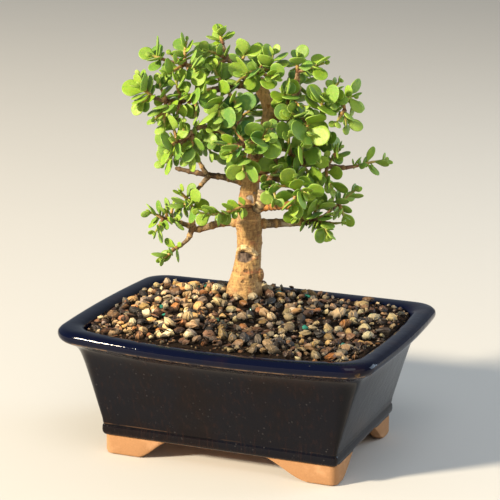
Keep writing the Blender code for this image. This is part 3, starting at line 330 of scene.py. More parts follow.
# Only the finished shoots have these
SIDE_TWIGS = twigs_of((
    ("top_left_inner", (-38, 2, 232), ((-42, 1, 235), (-46, 0, 238), 3, 12, 30),
     ((-41, -4, 234), (-42, -9, 235), 3, 11.5, 75)),
    ("crown_centre", (3, -3, 228), ((-2, -7, 226), (-6, -10, 223), 3, 12, 40)),
    ("crown_centre", (7, 4, 227), ((9, -3, 230), (9, -9, 230), 3, 11.5, 15),
     ((10, 8, 232), (10, 10, 238), 3, 11, 60)),
    ("left_high_outer", (-46, -11, 211), ((-47, -17, 210), (-48, -22, 209), 3, 12.5, 20)),
    ("left_high_outer", (-50, -14, 205), ((-54, -18, 203), (-56, -21, 201), 3, 11, 65)),
    ("left_high_inner", (-33, -9, 213), ((-37, -16, 208), (-38, -21, 203), 3, 12.5, 40)),
    ("left_high_inner", (-22, -7, 218), ((-24, -15, 219), (-25, -21, 219), 3, 12, 10)),
    ("front_upper_right", (5, -16, 187), ((11, -19, 193), (13, -21, 197), 3, 11, 50),
     ((2, -24, 188), (1, -29, 188), 3, 12, 15)),
    ("right_upper_tip", (58, -6, 213), ((64, -6, 211), (69, -6, 208), 3, 10.5, 20)),
    ("right_upper_tip", (60, -9, 206), ((57, -14, 203), (55, -17, 200), 3, 10.5, 35)),
    ("right_upper_tip", (58, -6, 213), ((54, -11, 213), (51, -15, 212), 3, 11, 80)),
    ("front_upper_left", (-4, -22, 186), ((-12, -24, 187), (-18, -25, 188), 3, 11.5, 25),
     ((-14, -20, 193), (-19, -20, 196), 3, 11, 70)),
    ("left_upper_tip", (-42, -18, 187), ((-44, -22, 190), (-45, -26, 192), 3, 12.5, 10)),
    ("left_upper_tip", (-38, -17, 189), ((-38, -20, 195), (-38, -23, 198), 3, 11.5, 45)),
    ("left_mid_up", (-33, 10, 182), ((-37, 4, 186), (-38, -2, 188), 3, 12, 20)),
    ("back_left", (-7, 29, 190), ((-1, 33, 196), (6, 34, 200), 4, 13, 45),
     ((-8, 22, 188), (-9, 15, 188), 3, 12.5, 10)),
    ("left_upper_under", (-17, -11, 192), ((-16, -16, 189), (-15, -21, 187), 3, 12, 30)),
    ("left_high_tip", (-61, -16, 218), ((-63, -17, 224), (-65, -17, 228), 3, 11, 70)),
    ("left_high_tip", (-57, -14, 214), ((-61, -17, 213), (-65, -18, 212), 3, 11, 15)),
    ("right_high_front", (41, 9, 181), ((47, 14, 182), (52, 16, 183), 3, 11.5, 0)),
    ("right_high_front", (27, -8, 178), ((26, -15, 187), (26, -19, 191), 3, 12.5, 30)),
    ("right_high_front", (39, 6, 178), ((47, 4, 184), (50, 0, 188), 4, 12, 70)),
    ("right_high_front", (34, 1, 172), ((37, -7, 168), (38, -13, 165), 4, 13, 10)),
    ("right_high_front", (33, -6, 177), ((40, -13, 177), (43, -18, 176), 3, 12.5, 55)),
    ("right_high_outer", (50, 3, 169), ((49, -4, 173), (49, -9, 175), 4, 12, 35)),
    ("right_high_outer", (47, 3, 170), ((45, -4, 166), (44, -10, 163), 3, 12, 75)),
    ("right_high_outer", (54, 1, 175), ((56, -4, 180), (56, -7, 183), 3, 10.5, 10)),
    ("front_right_tip", (31, -18, 158), ((31, -22, 163), (30, -26, 167), 4, 13, 25)),
    ("front_right_tip", (27, -16, 160), ((22, -21, 161), (19, -25, 162), 4, 12.5, 60)),
    ("front_right_inner", (14, -12, 161), ((17, -18, 157), (18, -23, 153), 4, 12, 35)),
    ("left_mid_down", (-36, 7, 145), ((-39, 4, 149), (-41, 1, 152), 3, 11, 15)),
    ("right_low_tip", (55, 8, 141), ((54, 3, 145), (54, -2, 149), 3, 11, 50)),
    ("right_low_tip", (58, 8, 144), ((60, 4, 140), (61, 0, 137), 3, 10.5, 20)),
    ("left_low_tip", (-47, 8, 132), ((-47, 11, 137), (-46, 13, 141), 3, 10.5, 50)),
    ("left_low_tip", (-50, 9, 133), ((-50, 5, 137), (-50, 1, 141), 4, 11, 30),
     ((-47, 4, 134), (-45, -1, 135), 3, 11, 75)),
    ("right_low_rosette", (45, 4, 133), ((54, -1, 133), (59, -4, 134), 4, 11.5, 40),
     ((47, -4, 138), (52, -9, 140), 3, 12, 0)),
    ("left_low_down", (-45, 0, 116), ((-49, -1, 112), (-52, -2, 110), 3, 10.5, 60)),
))
COLLAR_LENGTH = 3.5  # distance in which the swelling of a limb's foot falls to a third
RING_START = (0.5, 1)  # least and most way to the first ring of a limb or twig, over the gap between rings
RING_GAPS = (0.75, 1.25)  # and from ring to ring
RING_CROWDING = 0.35  # how much of the gap is lost towards the tip
RING_WIDTH = (0.16, 0.35)  # half width of a ring: this share of the radius, and this much more
TWIG_RADIUS = (1.1, 0.6)  # radius of a twig at its foot and at its tip
TWIG_STEP = 5.5  # length of the straight runs that the leaves are set out on
TWIG_DETAIL = 1.1  # length of the runs of its finished surface

# Leaf: a spoon shape, widest past its middle, thick at the midrib and sharp at the margin
LEAF_WIDTH = 0.86  # width over length
LEAF_GROWTH = 1.1  # how full the leaves have grown, over the lengths of the shoots' table
LEAF_STEM = 0.16  # width of the leaf's foot over its full width
LEAF_CUP = 0.1  # how far the tip rises, over the length
LEAF_ROUNDING = 0.75  # power of the sine across a leaf: the lower, the squarer its edge
LEAF_WAVES = (0.02, 0.012, 0.01)  # most that a leaf bends, twists and ripples, over its length
THICK_LENGTH = 13  # a leaf of this length has the thickness of the settings
LEAF_ROWS = (0, 0.07, 0.17, 0.29, 0.42, 0.55, 0.68, 0.8, 0.89, 0.955, 0.988)
LEAF_SIDES = 14
LEAF_FIRST = 0.36  # share of a twig's length at its first pair of leaves
LEAF_SWELL = 0.14  # how much longer the leaves are halfway along the twig
LEAF_LAST = 0.66  # size of the youngest pair
LEAF_SEAT = (0.1, 0.6)  # how far a leaf's foot is off the twig's middle line, and back from its node
LEAF_STRAY = (0.1, 0.06)  # how far a leaf strays from its own place, and how much further at each try
LEAF_TILT = (72, 38)  # lean of the first and of the last pair from the twig, in degrees
FILL_SIZE = 0.8  # length of the leaves between the pairs, over their neighbours'
BUD_TILT = 17  # lean of a tip's two young leaves from the twig, in degrees
SLIM = 0.93  # width of the finished leaves over the solids', here and on slim-leaved shoots
SLIM_SHOOTS = {"right_high_tip": 0.58, "right_low_tip": 0.7, "left_low_tip": 0.75, "left_low_down": 0.75,
               "top_tip": 0.72, "right_upper_tip": 0.8}

# How leaves seek their place: the places that one may try, how much smaller it gets at each, the least
# distance between the middle surfaces of two leaves, and the most that it twists to the light, in radians
LEAF_TURN = 0.8
PAIRED = (16, 0.02, 1.9, LEAF_TURN)
SIDE_PAIRED = (16, 0.02, 1.35, 1.3)
FILLING = (8, 0.06, 1.35, 1.3)
WOOD_SPACE = 1.1  # least distance of a leaf from bark
TWIG_SPACE = 1.9  # least distance of a leaf from a twig's middle line
LEAF_REACH = 22  # leaves whose middles are further apart can't meet
WOOD_STEP = 1.5  # spacing of the points that stand for wood and twigs
SAMPLE_STEP = 1.2  # spacing of the points that stand for a leaf
LIGHT = (-0.28, -0.64, 0.36)  # where the light comes from, in the tree's frame
CROWN_CENTRE = (4, 4, 188)
PAINTED_CROWN_SHADE = (18, 52)  # painted shade: leaves are darkest within the first distance from it, as if shaded inside the crown, and lightest past the second

# name, turn from the camera and height in degrees, distance, size, power, colour
SOFT_LIGHTS = (
    ("key_light", -62, 24, 4, 0.42, 420, (1, 0.86, 0.64)),
    ("fill_light", 40, 22, 2, 1.6, 7, (1, 0.82, 0.58)),
    ("side_light", 105, 12, 1.6, 0.9, 14, (0.66, 0.82, 1)),
    ("top_light", 8, 60, 1.6, 0.9, 7, (0.94, 0.97, 1)),
)
FLOOR_GRID = (24, 96)  # rings and spokes of the floor


# ---- settings a user would change

def colour(name, text, value):
    """A colour setting."""
    return FloatVectorProperty(name=name, description=text, subtype="COLOR", size=3, min=0, max=1,
                               default=value)


def length(name, text, value):
    """A length setting in metres."""
    return FloatProperty(name=name, description=text, subtype="DISTANCE", unit="LENGTH", min=0, default=value)


def angle(name, text, degrees):
    """An angle setting, given in degrees."""
    return FloatProperty(name=name, description=text, subtype="ANGLE", default=radians(degrees))


def amount(name, text, value):
    """A setting that says how many there are."""
    return IntProperty(name=name, description=text, default=value, min=0)


class BONSAI_PG_pot(PropertyGroup):
    """The pot's glaze and clay."""
    rim_glaze: colour("Rim glaze", "Colour of the thick glaze on the lip", (0.0012, 0.0023, 0.0125))
    wall_glaze: colour("Wall glaze", "Colour of the glaze on the walls", (0.004, 0.0022, 0.003))
    thin_glaze: colour("Thin glaze", "Brown where the glaze runs thin", (0.022, 0.009, 0.007))
    clay: colour("Clay", "Colour of the bare clay of the feet", (0.365, 0.19, 0.088))
    glaze_line: length("Glaze line", "Height where the glaze ends over the bare feet", 0.0132)


class BONSAI_PG_gravel(PropertyGroup):
    """The top dressing."""
    large_stones: amount("Large stones", "Stones over 6 mm", 215)
    medium_stones: amount("Medium stones", "Stones of 4 to 6 mm", 350)
    small_stones: amount("Small stones", "Grit under 3 mm", 430)
    glass_grains: amount("Glass grains", "Grains of green glass", 36)
    bark_chips: amount("Bark chips", "Flat brown chips", 190)
    soil: colour("Soil", "Colour of the damp soil between the stones", (0.008, 0.0048, 0.003))
    glass: colour("Glass", "Colour of the green grains", (0.022, 0.22, 0.15))


class BONSAI_PG_bark(PropertyGroup):
    """Trunk, limbs and twigs."""
    pale: colour("Pale bark", "Sunned face of the trunk's bark", (0.46, 0.28, 0.105))
    brown: colour("Brown bark", "Older bark in its hollows and cracks", (0.165, 0.082, 0.032))
    grey: colour("Grey bark", "Weathered bark", (0.25, 0.215, 0.155))
    red: colour("Red bark", "Young bark at knots and rings", (0.4, 0.115, 0.045))
    limb: colour("Limb bark", "Bark of the limbs", (0.24, 0.135, 0.058))
    young_twig: colour("Young twig", "Green bark near a shoot's tip", (0.3, 0.3, 0.055))
    old_twig: colour("Old twig", "Brown bark near a shoot's foot", (0.17, 0.07, 0.032))
    stub: colour("Stub bark", "Pale bark of the sawn stubs", (0.66, 0.5, 0.27))
    foot: colour("Limb foot", "Orange bark where a limb leaves the trunk", (0.52, 0.22, 0.055))
    ring: length("Ring height", "How far the rings of old leaf scars stand out", 0.00045)


class BONSAI_PG_leaf(PropertyGroup):
    """The leaves."""
    blade: colour("Blade", "Green of a grown leaf", (0.215, 0.345, 0.02))
    deep: colour("Deep green", "Green of an old or shaded leaf", (0.062, 0.178, 0.04))
    young: colour("Young green", "Yellow-green of the youngest leaves", (0.27, 0.36, 0.05))
    margin: colour("Margin", "Pale line round a leaf", (0.31, 0.42, 0.095))
    thickness: length("Thickness", "Thickness of a leaf at its middle", 0.0017)


class BONSAI_PG_stage(PropertyGroup):
    """Floor, light and camera."""
    floor: colour("Floor", "Colour of the floor", (0.6, 0.585, 0.555))
    sky: colour("Sky", "Colour of the light from all round", (0.78, 0.87, 0.96))
    sky_strength: FloatProperty(name="Sky strength", description="Strength of the light from all round",
                                default=0.36, min=0)
    floor_radius: length("Floor radius", "Reach of the floor", 8.0)
    azimuth: angle("Azimuth", "Turn of the camera round the pot", 21.834)
    elevation: angle("Elevation", "Height of the camera over the horizon", 14.036)
    roll: angle("Roll", "Tilt of the camera about its own axis", 0.285)
    distance: length("Distance", "From the camera to what it looks at", 1.12156)
    aim: FloatVectorProperty(name="Aim", description="The point that the camera looks at",
                             subtype="TRANSLATION", unit="LENGTH", default=(-0.00051, 0.0, 0.12412))
    lens: FloatProperty(name="Lens", description="Focal length on a 36 mm sensor", unit="CAMERA",
                        default=132.74, min=1)


# ---- arrays: frames, noise and surfaces

def unit(vector):
    """The vector at length 1."""
    return vector / np.linalg.norm(vector)


def norms(vectors):
    """Length of each vector of an array."""
    return np.linalg.norm(vectors, axis=-1)


def units(vectors):
    """Each vector of an array at length 1."""
    return vectors / norms(vectors)[..., None]


def circle(sides):
    """Cosine and sine of the turn of each of so many points round a circle."""
    turn = np.arange(sides) * 2 * pi / sides
    return np.cos(turn), np.sin(turn)


def smooth_route(points, spacing):
    """Catmull-Rom curve through the points, read about every spacing."""
    points = np.asarray(points, float)
    ends = np.vstack([2 * points[0] - points[1], points, 2 * points[-1] - points[-2]])
    curve = []
    for i in range(1, len(ends) - 2):
        a, b, c, d = ends[i - 1:i + 3]
        steps = max(1, round(np.linalg.norm(c - b) / spacing))
        for t in np.arange(steps) / steps:
            curve.append(0.5 * (2 * b + (c - a) * t + (2 * a - 5 * b + 4 * c - d) * t ** 2
                                + (3 * b - a - 3 * c + d) * t ** 3))
    curve.append(points[-1])
    return np.array(curve)


def frames(route):
    """Tangent and two cross directions at each point, carried along without twist."""
    tangents = units(np.gradient(route, axis=0))
    start = np.array((0, 1, 0)) if abs(tangents[0, 1]) < 0.9 else np.array((1, 0, 0))
    side = unit(np.cross(start, tangents[0]))
    sides = []
    for tangent in tangents:
        side = unit(side - tangent * (side @ tangent))
        sides.append(side)
    sides = np.array(sides)
    return tangents, sides, np.cross(tangents, sides)


def lengths_along(route):
    """Distance travelled at each point of a route."""
    return np.concatenate([[0], np.cumsum(norms(np.diff(route, axis=0)))])


def taper(route, first, last):
    """Radii that fall evenly from the first to the last along a route."""
    travelled = lengths_along(route)
    return first + (last - first) * travelled / travelled[-1]


def tree_to_world(points):
    """From the tree's frame to the pot's."""
    points = np.atleast_2d(points)
    c, s = cos(TREE_TURN), sin(TREE_TURN)
    x = TREE_FOOT[0] + c * points[:, 0] - s * points[:, 1]
    y = TREE_FOOT[1] + s * points[:, 0] + c * points[:, 1]
    return np.stack([x, y, points[:, 2]], axis=1)


def world_to_tree(points):
    """From the pot's frame to the tree's."""
    c, s = cos(TREE_TURN), sin(TREE_TURN)
    x = points[:, 0] - TREE_FOOT[0]
    y = points[:, 1] - TREE_FOOT[1]
    return np.stack([c * x + s * y, c * y - s * x, points[:, 2]], axis=1)


def ease(value, low, high):
    """0 below low, 1 above high and the curve 3 t^2 - 2 t^3 between."""
    t = np.clip((value - low) / (high - low), 0, 1)
    return t * t * (3 - 2 * t)


def noise(points, cell, seed):
    """Smooth noise from -1 to 1: random values on a lattice of cells, eased between each cell's corners."""
    lattice = np.random.default_rng(seed).uniform(-1, 1, (16, 16, 16))
    scaled = np.asarray(points, float) / np.asarray(cell, float)
    low = np.floor(scaled).astype(int)
    share = scaled - low
    share = share * share * (3 - 2 * share)
    total = np.zeros(len(scaled))
    for corner in np.ndindex(2, 2, 2):
        weight = np.prod(np.where(corner, share, 1 - share), axis=1)
        x, y, z = ((low + corner) % 16).T
        total += weight * lattice[x, y, z]
    return total


def roughened(base, points, layers):
    """The base with layers of noise added: each has its height, cell and seed."""
    for height, cell, seed in layers:
        base = base + height * noise(points, cell, seed)
    return base


def nearest(points, others):
    """Distances from each of the other points to the nearest of points."""
    return norms(others[:, None] - points[None]).min(axis=1)


def grid_faces(rows, columns):
    """Quads between rows of points that close round their columns."""
    i, j = np.meshgrid(np.arange(rows - 1), np.arange(columns), indexing="ij")
    k = (j + 1) % columns
    quads = np.stack([i * columns + j, i * columns + k, (i + 1) * columns + k, (i + 1) * columns + j], axis=-1)
    return quads.reshape(-1, 4)


def fan(pole, ring, outward):
    """Triangles from a pole to a ring of points, facing along the rows where outward is true."""
    following = np.roll(ring, -1)
    near, far = (ring, following) if outward else (following, ring)
    return np.stack([np.full(len(ring), pole), near, far], axis=1)


def closed_rows(rows):
    """A closed skin over rows of points (rows, columns, 3), with a pole in the middle of each end row."""
    count, columns = rows.shape[:2]
    points = np.concatenate([rows.reshape(-1, 3), rows[:1].mean(axis=1), rows[-1:].mean(axis=1)])
    body = count * columns
    ends = (fan(body, np.arange(columns), False), fan(body + 1, np.arange(body - columns, body), True))
    return points, [grid_faces(count, columns), np.concatenate(ends)]


def looped_rows(rows):
    """A closed skin over rows of points whose last row meets the first, as round a ring."""
    count, columns = rows.shape[:2]
    return rows.reshape(-1, 3), [grid_faces(count + 1, columns) % (count * columns)]


def stem(route, radii, sides):
    """A closed stem in the tree's frame: rings at right angles to the route, cos and sin of the turn times
    the radius, which may differ all round. Returns world points and faces."""
    _, across, up = frames(route)
    cosine, sine = circle(sides)
    radii = np.asarray(radii, float).reshape(len(route), -1, 1)
    out = cosine[None, :, None] * across[:, None] + sine[None, :, None] * up[:, None]
    points, faces = closed_rows(route[:, None] + radii * out)
    return tree_to_world(points), faces


def rounded_end(route, radii, dome=1, steps=4):
    """Route and radii with a domed tip added: cos and sin of a quarter turn past the last point."""
    turn = np.linspace(0, pi / 2, steps + 1)[1:]
    last = radii[-1]
    tip = route[-1] + np.outer(np.sin(turn) * last * dome, unit(route[-1] - route[-2]))
    shrunk = last * np.maximum(np.cos(turn), 0.05)
    return np.vstack([route, tip]), np.concatenate([radii, shrunk])


class Shape:
    """Surfaces gathered into one mesh, with named values at their points."""

    def __init__(self, *names):
        self.points = []
        self.faces = []
        self.skins = []
        self.values = {name: [] for name in names}
        self.count = 0

    def add(self, points, faces, skin=0, **values):
        """Adds a surface: points in millimetres, faces as arrays of three or four corners, the number of its
        finish, and its values."""
        self.faces.extend(group + self.count for group in faces)
        self.skins.extend(np.full(len(group), skin) for group in faces)
        for name, gathered in self.values.items():
            shape = (len(points), 4) if name == "tint" else (len(points),)
            gathered.append(np.broadcast_to(np.asarray(values.get(name, 0), float), shape))
        self.points.append(np.asarray(points, float))
        self.count += len(points)

    def build(self, name, *finishes):
        """The gathered surfaces as one object, in metres, with its finishes."""
        points = np.concatenate(self.points) * MM
        corners = np.concatenate([group.ravel() for group in self.faces])
        sizes = np.concatenate([np.full(len(group), group.shape[1]) for group in self.faces])
        mesh = bpy.data.meshes.new(name)
        mesh.vertices.add(len(points))
        mesh.vertices.foreach_set("co", points.astype(np.float32).ravel())
        mesh.loops.add(len(corners))
        mesh.loops.foreach_set("vertex_index", corners.astype(np.int32))
        mesh.polygons.add(len(sizes))
        mesh.polygons.foreach_set("loop_start", (np.cumsum(sizes) - sizes).astype(np.int32))
        mesh.polygons.foreach_set("material_index", np.concatenate(self.skins).astype(np.int32))
        mesh.update(calc_edges=True)
        for value, gathered in self.values.items():
            add_values(mesh, value, np.concatenate(gathered))
        mesh.shade_smooth()
        made = bpy.data.objects.new(name, mesh)
        bpy.context.scene.collection.objects.link(made)
        for finish in finishes:
            mesh.materials.append(finish)
        return made


def single(name, surface, *finishes):
    """One surface as an object of its own."""
    shape = Shape()
    shape.add(*surface)
    return shape.build(name, *finishes)


def add_values(mesh, name, values):
    """Stores one number or one colour for each point of a mesh."""
    kind, field = ("FLOAT_COLOR", "color") if values.ndim == 2 else ("FLOAT", "value")
    made = mesh.attributes.new(name, kind, "POINT")
    made.data.foreach_set(field, values.astype(np.float32).ravel())


def read_points(source, field):
    """A mesh's points or normals as an array."""
    values = np.zeros(len(source) * 3, np.float32)
    source.foreach_get(field, values)
    return values.reshape(-1, 3).astype(float)


def settle(piece, slot, *replaced):
    """Attaches a finished piece to its body and hides the solids that it stands for. The slot is not used."""
    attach(piece, BODY)
    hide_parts(*replaced)


def baked(piece):
    """Applies a piece's modifiers."""
    bpy.context.view_layer.update()
    evaluated = piece.evaluated_get(bpy.context.evaluated_depsgraph_get())
    piece.data = bpy.data.meshes.new_from_object(evaluated)
    piece.modifiers.clear()


def combine(target, tool, operation):
    """Applies one exact Boolean to target and removes its tool."""
    cut = target.modifiers.new("combine", "BOOLEAN")
    cut.operation = operation
    cut.solver = "EXACT"
    cut.object = tool
    baked(target)
    bpy.data.objects.remove(tool)


# ---- shader maths

def maths(operation, swapped=False):
    """An operator on shader values, which adds one Math node to their material."""
    def combined(value, other):
        first, second = (other, value) if swapped else (value, other)
        return value.finish.node("ShaderNodeMath", {"operation": operation}, {0: first, 1: second})
    return combined


class Flow:
    """A shader value. Sums, differences, products, quotients and powers of it add Math nodes."""

    def __init__(self, finish, socket):
        self.finish = finish
        self.socket = socket

    __add__ = maths("ADD")
    __radd__ = maths("ADD", swapped=True)
    __sub__ = maths("SUBTRACT")
    __rsub__ = maths("SUBTRACT", swapped=True)
    __mul__ = maths("MULTIPLY")
    __rmul__ = maths("MULTIPLY", swapped=True)
    __truediv__ = maths("DIVIDE")
    __pow__ = maths("POWER")


class Finish:
    """A material with a Principled shader, and one method that adds any node to it."""

    def __init__(self, name, **constants):
        self.material = bpy.data.materials.new(name)
        self.material.use_nodes = True
        self.tree = self.material.node_tree
        self.shader = self.tree.nodes["Principled BSDF"]
        for key, value in constants.items():
            self.shader.inputs[key.replace("_", " ")].default_value = value
        self.place = self.node("ShaderNodeTexCoord", output="Object")

    def node(self, kind, settings=None, inputs=None, output=0):
        """Adds a node: its settings first, then the values or links of its sockets. Returns one output."""
        made = self.tree.nodes.new(kind)
        for name, value in (settings or {}).items():
            setattr(made, name, value)
        for key, value in (inputs or {}).items():
            socket = made.inputs[key]
            if isinstance(value, Flow):
                self.tree.links.new(value.socket, socket)
            elif socket.type == "RGBA":
                socket.default_value = (*value[:3], 1)
            else:
                socket.default_value = value
        return Flow(self, made.outputs[output])

    def feed(self, **values):
        """Links values to the shader's sockets and returns the material."""
        for key, value in values.items():
            self.tree.links.new(value.socket, self.shader.inputs[key.replace("_", " ")])
        return self.material

    def point(self, name, output="Fac"):
        """A value, or with output Color a colour, that is stored at the mesh's points."""
        return self.node("ShaderNodeAttribute", {"attribute_name": name}, output=output)

    def stretched(self, x, y, z):
        """Object coordinates drawn out along the axes."""
        return self.node("ShaderNodeMapping", None, {"Vector": self.place, "Scale": (x, y, z)})

    def grain(self, size, detail=3, roughness=0.55, place=None):
        """Noise from 0 to 1 whose blotches are about size millimetres."""
        return self.node("ShaderNodeTexNoise", None, {
            "Vector": place or self.place, "Scale": 1 / (size * MM), "Detail": detail, "Roughness": roughness})

    def patches(self, size, low, high, detail=3, roughness=0.55, place=None):
        """Noise that is eased from 0 below low to 1 above high."""
        return self.ease(self.grain(size, detail, roughness, place), low, high)

    def cells(self, size):
        """Distance from the nearest of points strewn about size millimetres apart, over that size."""
        return self.node("ShaderNodeTexVoronoi", None, {"Vector": self.place, "Scale": 1 / (size * MM)},
                         output="Distance")

    def specks(self, size, edge, middle):
        """Round specks about size millimetres apart: 0 past their edge and 1 in their middle."""
        return self.ease(self.cells(size), edge, middle)

    def ease(self, value, low, high):
        """0 below low, 1 above high and a smooth step between."""
        return self.node("ShaderNodeMapRange", {"interpolation_type": "SMOOTHSTEP"},
                         {"Value": value, "From Min": low, "From Max": high})

    def mix(self, share, first, second, blend="MIX"):
        """The first colour turning into the second."""
        return self.node("ShaderNodeMix", {"data_type": "RGBA", "blend_type": blend},
                         {"Factor": share, 6: first, 7: second}, output=2)

    def layers(self, tone, *coats, blend="MIX"):
        """A colour under coats, each given by the share that it covers and its own colour."""
        for share, coat in coats:
            tone = self.mix(share, tone, coat, blend)
        return tone

    def relief(self, height, depth):
        """A bumped normal: height from 0 to 1 stands for depth millimetres."""
        return self.node("ShaderNodeBump", None, {"Height": height, "Distance": depth * MM})

    def axis(self, name):
        """Object coordinate X, Y or Z, in metres. Z is the height over the table."""
        return self.node("ShaderNodeSeparateXYZ", None, {"Vector": self.place}, output=name)

    def above(self, low, high, height=None):
        """0 at the height low and 1 at the height high, both in millimetres."""
        return self.ease(height or self.axis("Z"), low * MM, high * MM)

    def belt(self, height, begins, full, fades, gone):
        """A level belt: the height's rise from begins to full times its fall from fades to gone."""
        return self.above(begins, full, height) * self.above(gone, fades, height)

    def near(self, point, radius):
        """1 at a point of the part, in millimetres, falling to 0 at a radius round it."""
        away = self.node("ShaderNodeVectorMath", {"operation": "DISTANCE"},
                         {0: self.place, 1: [c * MM for c in point]}, output="Value")
        return self.ease(away, radius * MM, 0)


def scaled(tint, factor):
    """A colour made lighter or darker, kept within 0 and 1."""
    return [min(1, c * factor) for c in tint]


def glaze_finish(pot):
    """Navy glaze that is thick and blue on the lip, near black on the walls and brown where it runs thin,
    with a dark groove and a worn, tan line at the ledge and along the lip, over bare orange clay. Heights
    are read over the sagging rim: the sag times one less the square of the way along a long side, times the
    fourth power of the way to it."""
    made = Finish("navy_glaze_on_clay", Specular_IOR_Level=0.17)
    sag = (1 - (made.axis("X") / (RIM_HALF[0] * MM)) ** 2) * (made.axis("Y") / (RIM_HALF[1] * MM)) ** 4
    height = made.axis("Z") + sag * made.above(SAG_START, SAG_FULL) * (RIM_SAG * MM)
    wander = made.grain(14) - 0.5
    line = pot.glaze_line / MM
    glazed = made.above(line - 0.1, line + 0.2, height + wander * 0.0009)
    lip = made.above(*THICK_GLAZE, height + wander * 0.004)
    wall = 1 - lip
    streaks = made.grain(3, 3, 0.6, made.stretched(1, 1, 0.25))
    thin = (made.belt(height, *UNDER_LIP) * 0.55 * streaks
            + made.belt(height, *BAND_EDGE) * made.ease(streaks, 0.35, 0.7) * 0.6)
    broken_line = made.belt(height + wander * 0.0006, *LIP_LINE) * made.patches(5, 0.38, 0.6, 4, 0.7)
    runs = made.patches(2.2, 0.52, 0.7, 4, 0.6, made.stretched(1, 1, 0.12)) * wall
    worn = made.ease(made.near(*WORN_SPOT) * made.grain(2.2, 4, 0.65), 0.27, 0.4)
    glaze = made.layers(
        made.mix(lip, pot.wall_glaze, pot.rim_glaze),
        (made.patches(26, 0.55, 0.8, 4, 0.6) * 0.35, pot.thin_glaze),
        (thin, pot.thin_glaze),
        (made.belt(height, *LEDGE) * made.patches(16, 0.46, 0.6, 3, 0.6) * 0.8, (0.095, 0.05, 0.028)),
        (made.belt(height, *GROOVE) * 0.9, (0.0008, 0.0006, 0.0006)),
        (made.patches(45, 0.42, 0.62) * wall * 0.8, (0.0024, 0.0028, 0.006)),
        (made.specks(3.2, 0.2, 0.08) * made.patches(9, 0.44, 0.62) * wall * 0.75, (0.04, 0.036, 0.038)),
        (broken_line * 0.8, (0.3, 0.17, 0.085)),
        (runs * 0.3, pot.thin_glaze),
        (made.specks(6.5, 0.055, 0.03) * made.patches(30, 0.5, 0.65) * 0.6, (0.16, 0.15, 0.14)),
        (worn, (0.12, 0.065, 0.022)))
    pores = made.specks(1.6, 0.16, 0.05) * made.patches(3, 0.5, 0.62)
    clay = made.layers(
        made.mix(made.grain(1.1, 4), scaled(pot.clay, 0.82), scaled(pot.clay, 1.12)),
        (made.patches(9, 0.5, 0.75) * 0.4, (0.62, 0.36, 0.2)),
        (pores * 0.7, (0.22, 0.1, 0.045)))
    dull = made.grain(40, 2) * 0.06 + made.patches(2, 0.5, 0.8, 5) * 0.06 + 0.06
    glossy = 0.03 + dull * (1 - lip * 0.8) + worn * 0.4
    ripple = made.grain(7, 2) * 0.5 + made.grain(2.4, 2) * 0.16 + made.grain(0.9, 2) * 0.03
    rough_clay = made.grain(0.7, 4, 0.7) * 0.35 - pores * 0.5
    return made.feed(
        Base_Color=made.mix(glazed, clay, glaze),
        Roughness=0.86 - glazed * (0.86 - glossy),
        Normal=made.relief(glazed * ripple + (1 - glazed) * rough_clay - worn * 0.3, 0.32))


def soil_finish(gravel):
    """Dark crumbs of damp soil with tan grit and bits of bark."""
    made = Finish("damp_soil", Specular_IOR_Level=0.1)
    bits = made.patches(1.6, 0.62, 0.7, 4, 0.65, made.stretched(0.6, 1, 1))
    return made.feed(
        Base_Color=made.layers(
            gravel.soil, (made.grain(5, 4), scaled(gravel.soil, 2.6)), (bits * 0.8, (0.15, 0.06, 0.02))),
        Roughness=0.7 + made.grain(3) * 0.3,
        Normal=made.relief(made.cells(1.7) * 0.6 + made.grain(0.5, 4, 0.7) * 0.6, 1.1))


def stone_finish():
    """Each stone in its own colour, mottled and flecked, with a fine grain and dust in its pits."""
    made = Finish("mixed_stone", Specular_IOR_Level=0.45)
    mottle = made.grain(1.3, 4, 0.62)
    mottled = made.layers(
        made.point("tint", "Color"),
        (made.ease(mottle, 0.42, 0.75) * 0.55, (1.35, 1.28, 1.15)),
        (made.ease(mottle, 0.5, 0.25) * 0.6, (0.5, 0.42, 0.36)),
        blend="MULTIPLY")
    veins = made.patches(2.6, 0.6, 0.68, 5, 0.7, made.stretched(1, 1, 2.2))
    return made.feed(
        Base_Color=made.layers(
            mottled,
            (veins * 0.5, (0.62, 0.5, 0.36)),
            (made.specks(0.7, 0.22, 0.1) * 0.55, (0.07, 0.05, 0.035))),
        Roughness=0.3 + made.grain(1.8, 4) * 0.5,
        Normal=made.relief(mottle + made.grain(0.35) * 0.4, 0.3))


def glass_finish(gravel):
    """Green glass grit: smooth, with darker and bluer grains."""
    made = Finish("green_glass_grit", Specular_IOR_Level=0.7)
    own = made.mix(made.point("tint", "Color"), (0.6, 0.6, 0.6), (1.5, 1.5, 1.5))
    tone = made.mix(1, own, gravel.glass, "MULTIPLY")
    return made.feed(
        Base_Color=made.mix(made.patches(1.2, 0.55, 0.75) * 0.5, tone, (0.3, 0.62, 0.5)),
        Roughness=0.12 + made.grain(0.9) * 0.18,
        Normal=made.relief(made.grain(0.8, 2), 0.12))


